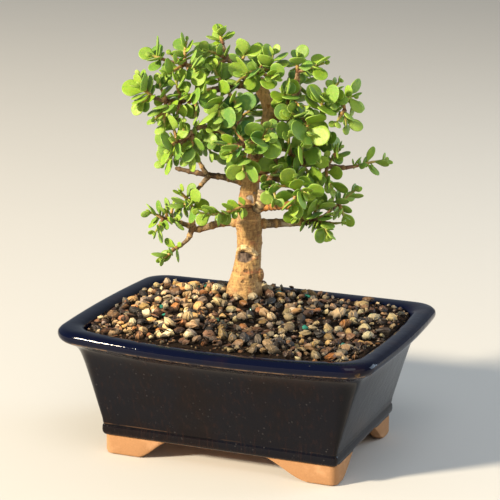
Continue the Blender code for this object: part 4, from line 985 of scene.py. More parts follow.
def trunk_finish(bark):
    """Pale tan bark: fine upright mottling and faint level wrinkles, brown specks at the foot, orange higher up
    and paler in the crown, partly painted light, dark pits, red at the knot and at one ring, a cream callus,
    the dead grey wood of the scar with painted shade in its hollow, and that of an old cut."""
    made = Finish("trunk_bark", Specular_IOR_Level=0.35)
    upright = made.grain(1.5, 5, 0.68, made.stretched(1, 1, 0.38))
    level = made.grain(2.2, 4, 0.6, made.stretched(0.35, 0.35, 2.4))
    coarse = made.ease(upright, 0.35, 0.6)
    cracked = made.ease(upright, 0.55, 0.4)
    pits = made.ease(made.point("pit"), 0.35, 0.95)
    tone = made.layers(
        bark.pale,
        (made.patches(7, 0.4, 0.64, 5, 0.65) * 0.65, bark.brown),
        (made.patches(16, 0.52, 0.7) * 0.35, bark.grey),
        (cracked * 0.7, bark.brown),
        (made.ease(level, 0.52, 0.62) * 0.5, scaled(bark.pale, 1.35)),
        (made.patches(5, 0.56, 0.7) * 0.3, bark.red),
        # partly painted light: orange, lighter bark higher up, and still paler bark in the crown, where the
        # leaves shade the trunk
        (made.above(*ORANGE_BARK_AND_LIGHT) * made.patches(8, 0.3, 0.6) * 0.7, (0.62, 0.34, 0.12)),
        (made.above(*CROWN_PAINTED_LIGHT) * coarse * 0.75, (0.8, 0.48, 0.2)),
        (made.point("red") * made.patches(2, 0.35, 0.6) * 0.8, bark.red),
        (made.above(*SPECKLED_FOOT) * made.patches(1.2, 0.52, 0.62) * 0.5, bark.brown),
        (made.point("ring") * coarse * 0.5, bark.brown),
        (pits * 0.75, (0.09, 0.05, 0.025)),
        (made.point("callus") * made.patches(4, 0.3, 0.52) * 0.9,
         made.mix(cracked, (0.78, 0.6, 0.33), (0.5, 0.33, 0.15))),
        # the scar's dead grey-brown wood, darkened further by painted shade in its hollow
        (made.point("scar_wood_and_shade"),
         made.mix(made.ease(upright, 0.35, 0.65), (0.036, 0.022, 0.015), (0.155, 0.108, 0.08))),
        (made.point("weathered") * 0.85, made.mix(upright, (0.17, 0.16, 0.165), (0.46, 0.43, 0.42))))
    cracks = upright * 0.65 + level * 0.35 + made.grain(0.6, 3, 0.7) * 0.3 - pits * 0.6
    return made.feed(Base_Color=tone, Roughness=0.62 + upright * 0.28, Normal=made.relief(cracks, 0.75))


def limb_finish(bark, name, tone, ringed):
    """Ringed bark: orange where it leaves the trunk, grey and pale in patches, dark with painted shade on some
    limbs, cracked along, with thin pale rings, or dark ones, at old leaf scars, one bare place and grey wood at
    a sawn end."""
    made = Finish(name, Specular_IOR_Level=0.35)
    along = made.grain(1, 4, 0.65)
    middle, radius = PALE_PATCH
    bare = made.near(tree_to_world(middle)[0], radius) * made.patches(3, 0.36, 0.46)
    tone = made.layers(
        tone,
        (made.patches(7, 0.42, 0.64, 4) * 0.6, scaled(bark.grey, 0.8)),
        (made.patches(4, 0.5, 0.58) * 0.7, (0.42, 0.3, 0.15)),
        (made.ease(along, 0.54, 0.36) * 0.8, scaled(tone, 0.32)),
        (made.patches(3, 0.6, 0.74) * 0.4, bark.red),
        (made.point("foot") * made.patches(3, 0.22, 0.5), bark.foot),
        (made.point("ring") * made.ease(along, 0.3, 0.45) * 0.9, ringed),
        # painted shade: dark brown patches on the limbs that lie in shade
        (made.point("dark") * made.patches(5, 0.25, 0.5), (0.065, 0.034, 0.018)),
        (made.ease(bare, 0.2, 0.6) * 0.8, (0.5, 0.42, 0.3)),
        (made.point("cut"), made.mix(made.grain(0.8, 4), (0.17, 0.13, 0.1), (0.38, 0.31, 0.23))))
    return made.feed(Base_Color=tone, Roughness=0.58 + along * 0.3,
                     Normal=made.relief(along * 0.7 + made.grain(0.4) * 0.3, 0.26))


def twig_finish(bark):
    """Young bark, green at the tip and turning orange, then red-brown, with pale rings at the leaf pairs."""
    made = Finish("twig_bark")
    age = made.point("age") + (made.grain(3) - 0.5) * 0.35
    tone = made.layers(
        bark.young_twig,
        (made.ease(age, 0.15, 0.55), (0.46, 0.25, 0.07)),
        (made.ease(age, 0.5, 0.95), bark.old_twig),
        (made.point("ring") * 0.5, (0.52, 0.42, 0.17)),
        (made.patches(0.7, 0.52, 0.36, 4) * 0.35, scaled(bark.old_twig, 0.4)))
    return made.feed(Base_Color=tone, Roughness=0.42 + made.grain(1) * 0.25,
                     Normal=made.relief(made.grain(0.6, 4), 0.16))


def leaf_finish(leaf):
    """Waxy succulent leaf: green that differs from leaf to leaf and darkens towards the crown's middle as
    painted shade, yellow-green at the foot, the margin and on young leaves, paler below, with faint veins,
    spots and bloom, and some light passing through."""
    made = Finish("jade_leaf", Subsurface_Weight=0.24, Subsurface_Radius=(0.35, 0.8, 0.12),
                  Subsurface_Scale=0.0022, Specular_IOR_Level=0.3, Coat_Roughness=0.36)
    under = made.point("under")
    tone = made.layers(
        leaf.deep,
        (made.point("tone"), leaf.blade),
        (made.point("young"), leaf.young),
        (made.patches(4, 0.48, 0.7) * 0.4, leaf.young),
        (made.patches(2.2, 0.52, 0.34, 4, 0.6) * 0.3, leaf.deep),
        (made.ease(made.point("along"), 0.34, 0.04) * 0.75, leaf.young),
        (under * 0.35, (0.24, 0.36, 0.085)),
        (made.ease(made.point("rim"), 0.35, 1) * 0.55, leaf.margin),
        (made.specks(0.9, 0.16, 0.07) * made.patches(3.5, 0.5, 0.62) * 0.3, (0.5, 0.58, 0.27)))
    return made.feed(
        Base_Color=tone,
        Roughness=0.36 + made.grain(3) * 0.26 + under * 0.12,
        Coat_Weight=made.patches(6, 0.4, 0.7) * 0.16,
        Normal=made.relief(made.grain(1.8, 2) + made.cells(0.7) * 0.12, 0.16))


def mesh_plastic_finish():
    """Black extruded plastic, dulled by soil."""
    made = Finish("black_mesh_plastic")
    dust = made.patches(3, 0.45, 0.75, 4)
    return made.feed(Base_Color=made.mix(dust * 0.7, (0.012, 0.012, 0.013), (0.12, 0.085, 0.055)),
                     Roughness=0.35 + dust * 0.45, Normal=made.relief(made.grain(0.6, 2), 0.06))


def wire_finish():
    """Soft aluminium wire with draw marks and a dull film."""
    made = Finish("soft_aluminium_wire", Metallic=1)
    film = made.grain(1.6, 4)
    drawn = made.grain(0.3, 3, 0.6, made.stretched(1, 0.2, 1))
    return made.feed(Base_Color=made.mix(film, (0.66, 0.66, 0.67), (0.36, 0.34, 0.32)),
                     Roughness=0.25 + film * 0.35, Normal=made.relief(drawn, 0.03))


def floor_finish(stage):
    """Plain matt floor, very faintly clouded."""
    made = Finish("pale_floor")
    return made.feed(Base_Color=made.mix(made.grain(120, 4) * 0.25, stage.floor, scaled(stage.floor, 0.93)),
                     Roughness=0.8 + made.grain(60, 2) * 0.15)


# ---- pot

def bowed_outline(half, bow, corner):
    """Points round a rectangle with rounded corners whose sides bow outwards, anticlockwise. The bow is one
    less the square of the way along a side."""
    corner_steps, long_steps, short_steps = OUTLINE_STEPS
    centres = np.array(((1, 1), (-1, 1), (-1, -1), (1, -1))) * (np.array(half) - corner)
    parts = []
    for quarter in range(4):
        turn = np.linspace(0, pi / 2, corner_steps + 1) + quarter * pi / 2
        arc = centres[quarter] + corner * np.stack([np.cos(turn), np.sin(turn)], axis=1)
        end = centres[(quarter + 1) % 4] + corner * np.array((cos(turn[-1]), sin(turn[-1])))
        steps = long_steps if quarter % 2 == 0 else short_steps
        share = (np.arange(1, steps) / steps)[:, None]
        parts += [arc, arc[-1] + (end - arc[-1]) * share]
    points = np.concatenate(parts)
    across = (1 - (points / np.array(half)) ** 2)[:, ::-1]
    return points * (1 + np.array(bow) / np.array(half) * across)


def pot_ring(height, inset):
    """The pot's outline at a height, moved in from the rim, with the bow and the dip it has there."""
    rise = min(max((height - FLOOR_Z) / (LIP_Z - FLOOR_Z), 0), 1)
    corner = max(BASE_CORNER + (RIM_CORNER - BASE_CORNER) * rise - inset * 0.1, 2)
    half = (RIM_HALF[0] - inset + RIM_BOW[0] * (1 - rise), RIM_HALF[1] - inset + RIM_BOW[1] * (1 - rise))
    ring = bowed_outline(half, (RIM_BOW[0] * rise, RIM_BOW[1] * rise), corner)
    middle = 1 - np.minimum(np.abs(ring[:, 0]) / half[0], 1) ** 2
    long_side = np.clip(np.abs(ring[:, 1]) / half[1], 0, 1) ** 4
    dip = RIM_SAG * middle * long_side * max(0, (height - SAG_START) / (LIP_Z - SAG_START))
    return np.column_stack([ring, height - dip])


def pot_surface():
    """The pot as rings of its bowed outline: up the outer wall, over the lip, down inside to the floor."""
    wall = smooth_route([(inset, 0, height) for height, inset in WALL_ROWS], WALL_STEP)
    profile = [*BAND_ROWS, *((row[2], row[0]) for row in wall), *INSIDE_ROWS]
    return closed_rows(np.array([pot_ring(height, inset) for height, inset in profile]))


def foot_row(inset, lift):
    """Points round the foot ring at an inset. Their heights are lift over its lower edge, which is the
    table under the feet and rises in each cove as a power of a quarter wave of sine; with no lift, they lie
    in the pot's floor."""
    corner = max(FOOT_CORNER - inset, 0.8)
    sweep = np.linspace(0, 1, 24)
    rise = np.append(np.zeros(7), (BASE_Z + COVE_RISE) * np.sin(pi / 2 * sweep) ** COVE_POWER)
    row = []
    for side, flats in enumerate(FOOT_FLATS):
        along = np.array(((-1, 0), (0, -1), (1, 0), (0, 1))[side])
        outward = np.array(((0, 1), (-1, 0), (0, -1), (1, 0))[side])
        axis = side % 2
        reach = FOOT_HALF[axis] - inset - corner
        depth = FOOT_HALF[1 - axis] - inset
        places = []
        for flat, cove in flats:
            end = FOOT_HALF[axis] - flat
            places.append(np.concatenate([np.linspace(reach, end, 8)[:-1], end - cove * sweep]))
        places = np.concatenate([-places[0], places[1][::-1]])
        straight = places[:, None] * along + depth * outward
        turn = np.linspace(0, pi / 2, 8)[1:-1, None]
        bend = reach * along + (depth - corner) * outward
        bend = bend + corner * (np.cos(turn) * outward + np.sin(turn) * along)
        row.append(np.column_stack([straight, np.concatenate([rise, rise[::-1]])]))
        row.append(np.column_stack([bend, np.zeros(len(bend))]))
    row = np.concatenate(row)
    row[:, 2] = FOOT_ROOT if lift is None else row[:, 2] + lift
    return row


def foot_surface():
    """The wall under the pot's edge: rings round it, up its outer face, across its top inside the pot's
    floor, and down its inner face to a rounded lower edge."""
    edge = FOOT_EDGE
    section = ((0, edge), (0, None), (FOOT_WALL, None), (FOOT_WALL, edge), (FOOT_WALL - 0.3 * edge, 0.3 * edge),
               (FOOT_WALL - edge, 0), (edge, 0), (0.3 * edge, 0.3 * edge))
    return looped_rows(np.array([foot_row(inset, lift) for inset, lift in section]))


def drain_surface(middle):
    """An upright cylinder through the pot's floor, as wide as a drain hole."""
    cosine, sine = circle(DRAIN_SIDES)
    round_hole = np.column_stack([middle + DRAIN_RADIUS * cosine, DRAIN_RADIUS * sine])
    return closed_rows(np.array([np.column_stack([round_hole, np.full(DRAIN_SIDES, height)])
                                 for height in (BASE_Z - 4, FLOOR_Z + 4)]))


class BONSAI_OT_pot(Operator):
    """Make the glazed pot with its coved feet and drain holes"""
    bl_idname = "bonsai.pot"
    bl_label = "Pot"

    def execute(self, context):
        made = single("glazed_pot", pot_surface(), glaze_finish(context.scene.bonsai_pot))
        combine(made, single("feet", foot_surface()), "UNION")
        for middle in (-DRAIN_X, DRAIN_X):
            combine(made, single("drain", drain_surface(middle)), "DIFFERENCE")
        if len(made.data.polygons) < 1000:
            raise RuntimeError("the pot, its feet and its drain holes didn't join")
        made.data.shade_smooth()
        made.data.set_sharp_from_angle(angle=radians(POT_EDGE))
        settle(made, "glazed_stoneware", "pot")
        return {"FINISHED"}


# ---- soil and gravel

class BONSAI_OT_drainage(Operator):
    """Finish the soil, the mesh over the drain holes and the wire clips that hold it"""
    bl_idname = "bonsai.drainage"
    bl_label = "Soil and drainage"

    def execute(self, context):
        finishes = {"soil": soil_finish(context.scene.bonsai_gravel), "drain_screen": mesh_plastic_finish(),
                    "screen_clip": wire_finish()}
        for name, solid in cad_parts.items():
            for start, finish in finishes.items():
                if name.startswith(start):
                    solid.material_slots[0].material = finish
        return {"FINISHED"}


def bed_height(points):
    """Height of the soil bed: a mound and a steeper collar, both bells round the trunk, with crumbs of three
    sizes."""
    away = np.maximum(norms(points[:, :2] - TREE_FOOT) - BED_HOLE, 0)
    mound = BED_RISE * np.exp(-(away / BED_REACH) ** 1.3) + COLLAR_RISE * np.exp(-(away / COLLAR_REACH) ** 2)
    flat = np.column_stack([points[:, :2], np.zeros(len(points))])
    return roughened(BED_EDGE + mound, flat, BED_CRUMBS)


def bed_surface():
    """The bed: rings that shrink from the pot's wall to the trunk, closed below."""
    edge = pot_ring(SOIL_TOP, BED_INSET)[:, :2]
    inner = TREE_FOOT + units(edge - TREE_FOOT) * BED_HOLE
    rings = [edge + (inner - edge) * share for share in np.linspace(0, 1, BED_RINGS)]
    rows = [np.column_stack([ring, bed_height(ring)]) for ring in rings]
    bottom = np.full(len(edge), SOIL_TOP + BED_BOTTOM)
    return looped_rows(np.array([np.column_stack([edge, bottom]), *rows, np.column_stack([inner, bottom])]))


def stones(seed, count, rows, columns):
    """Many stones of size 1 at once. Each is a ball of radius 1 cut by random planes; how far it reaches in a
    direction is the power mean of the distances to the planes, which rounds the edges between them.
    Returns (stones, points, 3) and the faces of one."""
    dice = np.random.default_rng(seed)
    tilt = np.linspace(0, pi, rows + 2)[1:-1, None]
    turn = np.arange(columns) * 2 * pi / columns + np.arange(rows)[:, None] * pi / columns
    wide = np.sin(tilt)
    ball = np.stack([wide * np.cos(turn), wide * np.sin(turn), -np.cos(tilt) + 0 * turn], axis=2)
    directions, faces = closed_rows(ball)
    directions = units(directions)
    normals = units(dice.normal(size=(count, STONE_PLANES, 3)))
    depths = dice.uniform(*STONE_DEPTHS, (count, STONE_PLANES))
    facing = np.maximum(np.einsum("mc,nkc->nmk", directions, normals), 0) / depths[:, None]
    reach = (0.6 + (facing ** STONE_EDGE).sum(axis=2)) ** (-1 / STONE_EDGE)
    return directions[None] * reach[:, :, None], faces


def turned_at_random(dice, count):
    """Random turns of space, as one matrix for each of count stones, from unit quaternions."""
    w, x, y, z = units(dice.normal(size=(count, 4))).T
    rows = ((1 - 2 * (y * y + z * z), 2 * (x * y - w * z), 2 * (x * z + w * y)),
            (2 * (x * y + w * z), 1 - 2 * (x * x + z * z), 2 * (y * z - w * x)),
            (2 * (x * z - w * y), 2 * (y * z + w * x), 1 - 2 * (x * x + y * y)))
    return np.moveaxis(np.array(rows), 2, 0)


def free_spot(dice, radius):
    """A random place on the bed that keeps a stone of that radius clear of the pot's wall and the trunk."""
    reach = [half + bow - BED_INSET - radius for half, bow in zip(RIM_HALF, RIM_BOW)]
    while True:
        x = dice.uniform(-reach[0], reach[0])
        y = dice.uniform(-reach[1], reach[1])
        limit_x = reach[0] - RIM_BOW[0] * (y / reach[1]) ** 2
        limit_y = reach[1] - RIM_BOW[1] * (x / reach[0]) ** 2
        past = (max(abs(x) - limit_x + BED_CORNER, 0), max(abs(y) - limit_y + BED_CORNER, 0))
        if past[0] ** 2 + past[1] ** 2 > BED_CORNER ** 2:
            continue
        if hypot(x - TREE_FOOT[0], y - TREE_FOOT[1]) > BED_HOLE - 1 + radius * 0.5:
            return x, y


def resting_level(laid, x, y, ground, radius):
    """Height of a stone's middle where it rests on the bed or leans over the stones that it touches."""
    level = ground + radius * STONE_SINK
    away = np.hypot(laid[:, 0] - x, laid[:, 1] - y)
    touch = (laid[:, 3] + radius) * STONE_TOUCH
    near = away < touch
    over = laid[near, 2] + np.sqrt(touch[near] ** 2 - away[near] ** 2) * STONE_CLIMB
    return max([level, *over])


def stone_places(count, sizes, tries, home, dice, laid):
    """Where the stones of one group come to rest: x, y, height and mean radius of each. Of the spots that a
    stone tries, it takes the one where it lies lowest over the bed."""
    elsewhere, low, high = home
    first = len(laid)
    for _ in range(count):
        radius = sizes[0] + (sizes[1] - sizes[0]) * dice.random() ** 1.3
        best = None
        for _ in range(tries):
            x, y = free_spot(dice, radius + STONE_MARGIN)
            at_home = low[0] < x < high[0] and low[1] < y < high[1]
            if not at_home and dice.random() > elsewhere:
                continue
            ground = bed_height(np.array([(x, y)]))[0]
            level = resting_level(laid, x, y, ground, radius)
            if best is None or level - ground < best[0]:
                best = (level - ground, (x, y, level, radius))
        if best is not None and best[0] < STACK * radius:
            laid = np.vstack([laid, best[1]])
    return laid, laid[first:]


def strew(name, count, sizes, tries, grid, finish, kind, dice, laid):
    """One group of stones as one piece, paler towards the left and darker towards the right, with painted shade
    darkening their undersides. Returns where all the stones laid so far are."""
    colours, weights, stretch, press, *home = (np.array(part, float) for part in kind)
    laid, places = stone_places(count, sizes, tries, home, dice, laid)
    count = len(places)
    shapes, faces = stones(SEED + len(laid), count, *grid)
    shapes = shapes * dice.uniform(*stretch, (count, 3))[:, None]
    shapes = np.einsum("nij,nmj->nmi", turned_at_random(dice, count), shapes)
    shapes[:, :, 2] *= press
    points = places[:, None, :3] + shapes * places[:, None, 3:]
    picked = dice.choice(len(colours), count, p=weights / weights.sum())
    # stones grow darker from left to right
    left_right_level = LEFT_STONE_LEVEL - RIGHT_STONE_DROP * ease(places[:, 0] + 0.25 * places[:, 1], *STONES_DARKEN_RIGHTWARD)
    tints = colours[picked] * left_right_level[:, None] * dice.uniform(*STONE_SHADES, (count, 1))
    tints = tints * dice.uniform(*STONE_CASTS, (count, 3))
    # painted shade: the lower part of each stone is darkened nearly to black, standing for the shade under and
    # between the stones
    painted_underside_shade = UNDERSIDE_SHADE_LEVEL + (1 - UNDERSIDE_SHADE_LEVEL) * ease(shapes[:, :, 2], *UNDERSIDE_SHADE_HEIGHTS)
    tint = np.clip(tints[:, None] * painted_underside_shade[:, :, None], 0, 1).reshape(-1, 3)
    start = (np.arange(count) * points.shape[1])[:, None, None]
    faces = [(face[None] + start).reshape(-1, face.shape[1]) for face in faces]
    group = Shape("tint")
    group.add(points.reshape(-1, 3), faces, tint=np.column_stack([tint, np.ones(len(tint))]))
    made = group.build(name, finish)
    made.data.shade_flat()
    settle(made, "gravel", "gravel")
    return laid


class BONSAI_OT_gravel_bed(Operator):
    """Make the dark, crumbly bed between the stones"""
    bl_idname = "bonsai.gravel_bed"
    bl_label = "Gravel bed"

    def execute(self, context):
        made = single("gravel_bed", bed_surface(), soil_finish(context.scene.bonsai_gravel))
        settle(made, "gravel", "gravel")
        return {"FINISHED"}


class BONSAI_OT_stones(Operator):
    """Strew the stones, the glass grains and the bark chips over the bed"""
    bl_idname = "bonsai.stones"
    bl_label = "Stones"

    def execute(self, context):
        gravel = context.scene.bonsai_gravel
        dice = np.random.default_rng(SEED)
        stone = stone_finish()
        groups = (  # piece, how many, least and most radius, spots tried, rows and columns of points on one
            ("large_stones", gravel.large_stones, (3, 4.9), 6, (5, 7), stone, STONES),
            ("medium_stones", gravel.medium_stones, (1.9, 3), 5, (4, 6), stone, STONES),
            ("glass_grains", gravel.glass_grains, (1.3, 2.3), 1, (3, 5), glass_finish(gravel), GLASS),
            ("bark_chips", gravel.bark_chips, (1.5, 2.9), 3, (3, 6), stone, CHIPS),
            ("small_stones", gravel.small_stones, (0.7, 1.5), 6, (3, 5), stone, GRIT),
        )
        laid = np.zeros((0, 4))
        for group in groups:
            laid = strew(*group, dice, laid)
        return {"FINISHED"}


# ---- trunk and limbs

def wood_surface():
    """Trunk, root crown, swellings and callus as overlapping stems and balls, which a remesh joins."""
    rows = smooth_route(np.array(TRUNK, float), 2)
    wood = Shape()
    wood.add(*stem(rows[:, :3], rows[:, 3], 40))
    for k in range(ROOT_COUNT):
        turn = 2 * pi * (k + 0.35 + 0.3 * sin(5 * k)) / ROOT_COUNT
        points = [(ROOT_MIDDLE + away * cos(turn), away * sin(turn), height)
                  for away, height in ROOT_ROUTE]
        route = smooth_route(points, 2)
        wood.add(*stem(route, taper(route, *ROOT_RADII), 16))
    turn = np.linspace(0, pi, 14)[1:-1]
    for centre, radius, height in SWELLINGS:
        route = centre - np.outer(np.cos(turn) * height, (0, 0, 1))
        wood.add(*stem(route, np.sin(turn) * radius, 16))
    route = smooth_route(LIP, 1)
    lumpy = taper(route, *LIP_RADII) * (1 + 0.22 * noise(route, 2.6, 33))
    wood.add(*stem(*rounded_end(route, lumpy), 14))
    return wood


def hollow(points, centre, radii):
    """Distance from the centre of an ellipsoid, over its radii."""
    return norms((points - centre) / radii)


def level_rings(points, dice):
    """Mask of the trunk's level, slightly tilted rings: a bell over the height past each, times noise."""
    bent = points[:, 2] + 0.9 * noise(points, 9, 21)
    strength = 0.5 + 0.5 * noise(points, 7, 22)
    rings = np.zeros(len(points))
    for level in RING_HEIGHTS:
        offset = bent - level - points[:, :2] @ dice.uniform(-0.1, 0.1, 2)
        rings = np.maximum(rings, np.exp(-(offset / 0.8) ** 2) * strength)
    return bent, rings


def small_pits(points, dice):
    """Mask of the pits: round the listed places and random ones, each with an edge of its own."""
    pits = np.zeros(len(points))
    for centre in (*PITS, *dice.uniform(*PIT_ZONE)):
        pits = np.maximum(pits, ease(hollow(points, centre, (1, 1, 1.2)), dice.uniform(1.2, 1.8), 0.5))
    return pits


def trunk_relief(points, dice):
    """How far the bark stands out at each point of the trunk, and the masks of its rings, the scar's dead wood
    with painted shade in its hollow, weathered wood, callus, red bark and pits. Rings and fluting are waves up
    and round the trunk; pits, scar and cut are hollows round points; the rest is noise drawn out along or
    across the trunk."""
    height, ring = level_rings(points, dice)
    pits = small_pits(points, dice)
    turn = np.arctan2(points[:, 1], points[:, 0])
    flute = np.cos(5 * turn + 0.6 * np.sin(2 * turn)) * ease(height, 106, 84)
    warped = points + 0.4 * noise(points, 2.4, 29)[:, None]
    scar = hollow(warped, *SCAR)
    scar_end = hollow(warped, *SCAR_END)
    patch = hollow(points + 2.2 * noise(points, 2.6, 30)[:, None], *CUT_PATCH)
    relief = RING_RISE * ring * ease(height, 96, 122) + FLUTE_RISE * flute
    relief += roughened(0, points, BARK_LUMPS)
    relief += roughened(0, points, BARK_GRAIN)
    relief -= PIT_DEPTH * pits
    deep, end_deep, patch_deep = SCAR_DEPTHS
    relief -= (deep * ease(scar, 1.06, 0.78) + end_deep * ease(scar_end, 1.3, 0.4)
               + patch_deep * ease(patch, 1, 0.85))
    scar_wood_and_shade = ease(scar, 1.02, 0.86)
    lip = ease(nearest(smooth_route(LIP, 0.8), points), LIP_RADII[0] * 1.5, LIP_RADII[0] * 0.9) * (1 - scar_wood_and_shade)
    middle, edge, full = RED_KNOT
    knot = ease(norms(points - middle), edge, full)
    band = np.exp(-((height - 103) / 1.4) ** 2) * ease(turn, -2.1, -1.6) * ease(turn, -0.2, -0.6)
    red = np.maximum(np.maximum(knot * 0.3, band * 0.8), ease(scar_end, 1.7, 1) * (1 - scar_wood_and_shade))
    return relief, {"ring": np.clip(ring, 0, 1), "scar_wood_and_shade": scar_wood_and_shade, "weathered": ease(patch, 1, 0.8),
                    "callus": lip, "red": red, "pit": pits}


class BONSAI_OT_trunk(Operator):
    """Make the trunk with its root flare, rings, pits, scar and knot, and the sawn stubs on it"""
    bl_idname = "bonsai.trunk"
    bl_label = "Trunk"

    def execute(self, context):
        bark = context.scene.bonsai_bark
        made = wood_surface().build("bark_trunk", trunk_finish(bark))
        skin = made.modifiers.new("skin", "REMESH")
        skin.mode = "VOXEL"
        skin.voxel_size = TRUNK_VOXEL * MM
        soften = made.modifiers.new("soften", "SMOOTH")
        soften.factor = 0.5
        soften.iterations = 5
        baked(made)
        mesh = made.data
        points = read_points(mesh.vertices, "co")
        if len(points) < 5000:
            raise RuntimeError("the trunk's remesh came out empty")
        relief, masks = trunk_relief(world_to_tree(points / MM), np.random.default_rng(SEED))
        points += read_points(mesh.vertex_normals, "vector") * (relief * MM)[:, None]
        mesh.vertices.foreach_set("co", points.astype(np.float32).ravel())
        for name, values in masks.items():
            add_values(mesh, name, values)
        mesh.update()
        mesh.shade_smooth()
        settle(made, "trunk_bark", "trunk")
        self.add_stubs(bark)
        return {"FINISHED"}

    def add_stubs(self, bark):
        """The sawn stubs, ringed like the limbs."""
        wood = Shape(*LIMB_MASKS)
        dice = random.Random(SEED)
        for stub, orange in zip(STUBS, STUB_ORANGE):
            add_limb(wood, stub, dice, 3.7, 0.5, 0.8, orange, dome=0.3)
        finish = limb_finish(bark, "stub_bark", bark.stub, (0.055, 0.026, 0.014))
        settle(wood.build("bark_stubs", finish), "trunk_bark", "trunk")


def away_from(place, surface):
    """Distance of each point of a surface from a place in the tree's frame."""
    return norms(surface - tree_to_world(place))


def ringed_stem(points, first, last, dice, sides, step, gap, ring, foot=0, dome=1):
    """A limb or twig: radii that taper, a collar that swells its foot, a raised ring at each old pair of
    leaves about every gap, and bark roughened by noise. Returns points, faces and the rings' mask."""
    route = smooth_route(points, step)
    radii = taper(route, first, last)
    travelled = lengths_along(route)
    radii = radii + foot * np.exp(-travelled / COLLAR_LENGTH)
    rings = np.zeros(len(route))
    at = gap * dice.uniform(*RING_START)
    width = RING_WIDTH[0] * first + RING_WIDTH[1]
    while at < travelled[-1]:
        rings = np.maximum(rings, np.exp(-((travelled - at) / width) ** 2))
        at += gap * dice.uniform(*RING_GAPS) * (1 - RING_CROWDING * at / travelled[-1])
    radii = radii + ring * rings
    route, radii = rounded_end(route, radii, dome)
    rings = np.concatenate([rings, np.zeros(len(route) - len(rings))])
    flat, faces = stem(route, radii, sides)
    rough = roughened(0, flat, LIMB_GRAIN)
    body = len(route) * sides
    shaped = radii[:, None] * (1 + rough[:body].reshape(len(route), sides))
    points, faces = stem(route, shaped, sides)
    mask = np.concatenate([np.repeat(rings, sides), rings[:1], rings[-1:]])
    return points, faces, mask


def add_limb(wood, limb, dice, gap, ring, foot, orange, dark=0, dome=1):
    """Adds one limb, fork or stub and its masks: the rings, the sawn end, how far its foot is orange and how
    much painted shade darkens the rest."""
    *points, first, last = limb
    surface, faces, rings = ringed_stem(points, first, last, dice, 20, 0.8, gap, ring, foot, dome)
    from_foot = away_from(points[0], surface)
    sawn = ease(away_from(points[-1], surface), last * 1.25, last * 0.9) * (dome < 1)
    wood.add(surface, faces, ring=rings, cut=sawn,
             foot=ease(from_foot, orange, orange * 0.4), dark=dark * ease(from_foot, 8, 20))


class BONSAI_OT_limbs(Operator):
    """Make each limb with its forks, its collar and the rings of old leaf scars"""
    bl_idname = "bonsai.limbs"
    bl_label = "Limbs"

    def execute(self, context):
        bark = context.scene.bonsai_bark
        ring = bark.ring / MM
        finish = limb_finish(bark, "limb_bark", bark.limb, scaled(bark.pale, 1.15))
        dice = random.Random(SEED)
        for name, (limb, *forks) in LIMBS.items():
            wood = Shape(*LIMB_MASKS)
            add_limb(wood, limb, dice, 8.5, ring, 1.3, 9, LIMB_PAINTED_SHADE.get(name, PLAIN_PAINTED_SHADE))
            for fork in forks:
                add_limb(wood, fork, dice, 8.5, ring, 0.6, 2)
            settle(wood.build("bark_limb_" + name, finish), "limb_bark", "limb_" + name)
        return {"FINISHED"}


# ---- leaves

Leaf = namedtuple("Leaf", "foot along across up length")


def leaf_half_width(u):
    """Half width over full width, from the foot at 0 to the tip at 1: a smooth step out of the stem, then a
    quarter of an ellipse."""
    tip = np.sqrt(np.clip(1 - (np.clip(u - 0.6, 0, 1) / 0.4) ** 2, 0, 1))
    return 0.5 * (LEAF_STEM + (1 - LEAF_STEM) * ease(u, 0.05, 0.55)) * tip


def leaf_point(leaf, u, v, lift=0, slim=1):
    """A point of a leaf: u runs from foot to tip, v from edge to edge, lift is off its middle surface, which
    rises with the squares of both."""
    half = leaf_half_width(u) * LEAF_WIDTH * leaf.length * slim
    bend = LEAF_CUP * leaf.length * (u ** 2 + v ** 2 * (half / leaf.length))
    return (leaf.foot + np.outer(u * leaf.length, leaf.along) + np.outer(half * v, leaf.across)
            + np.outer(bend + lift, leaf.up))


def leaf_samples(leaf):
    """Points all over the leaf's middle surface, and those of them clear of its foot."""
    rows = max(5, round(leaf.length / SAMPLE_STEP))
    u = np.repeat(np.linspace(0.12, 1, rows), 9)
    cloud = leaf_point(leaf, u, np.tile(np.linspace(-1, 1, 9), rows))
    return cloud, cloud[u > 0.35]


def turned(vector, axis, angle):
    """The vector turned about a unit axis."""
    c, s = cos(angle), sin(angle)
    return vector * c + np.cross(axis, vector) * s + axis * (axis @ vector) * (1 - c)


def leaf_frame(node, tangent, side, azimuth, tilt, length, twist, most=LEAF_TURN):
    """Where a leaf sits: its foot on the twig, its direction, its width direction and its upper side.

    The blade turns about its own length towards the light and the outside of the crown, up to a limit.
    """
    outward = turned(side, tangent, azimuth)
    axis = unit(tangent * cos(tilt) + outward * sin(tilt))
    normal = unit(tangent - axis * (tangent @ axis))
    wanted = LIGHT + unit(node - CROWN_CENTRE)
    wanted = wanted - axis * (wanted @ axis)
    angle = atan2(axis @ np.cross(normal, wanted), normal @ wanted)
    angle = (angle + pi / 2) % pi - pi / 2
    normal = turned(normal, axis, max(-most, min(most, angle)) + twist)
    foot = node + outward * LEAF_SEAT[0] - tangent * LEAF_SEAT[1]
    return Leaf(foot, axis, np.cross(normal, axis), normal, length)


def station(route, share):
    """Point, tangent and cross direction at a share of a route's length."""
    tangents, sides, _ = frames(route)
    travelled = lengths_along(route)
    at = share * travelled[-1]
    point, tangent, side = (np.array([np.interp(at, travelled, values[:, k]) for k in range(3)])
                            for values in (route, tangents, sides))
    tangent = unit(tangent)
    return point, tangent, unit(side - tangent * (side @ tangent))


def read_along(route, spacing):
    """Points along a route's straight runs, about every spacing."""
    runs = [np.linspace(a, b, max(2, round(np.linalg.norm(b - a) / spacing) + 1))
            for a, b in zip(route[:-1], route[1:])]
    return np.concatenate(runs)


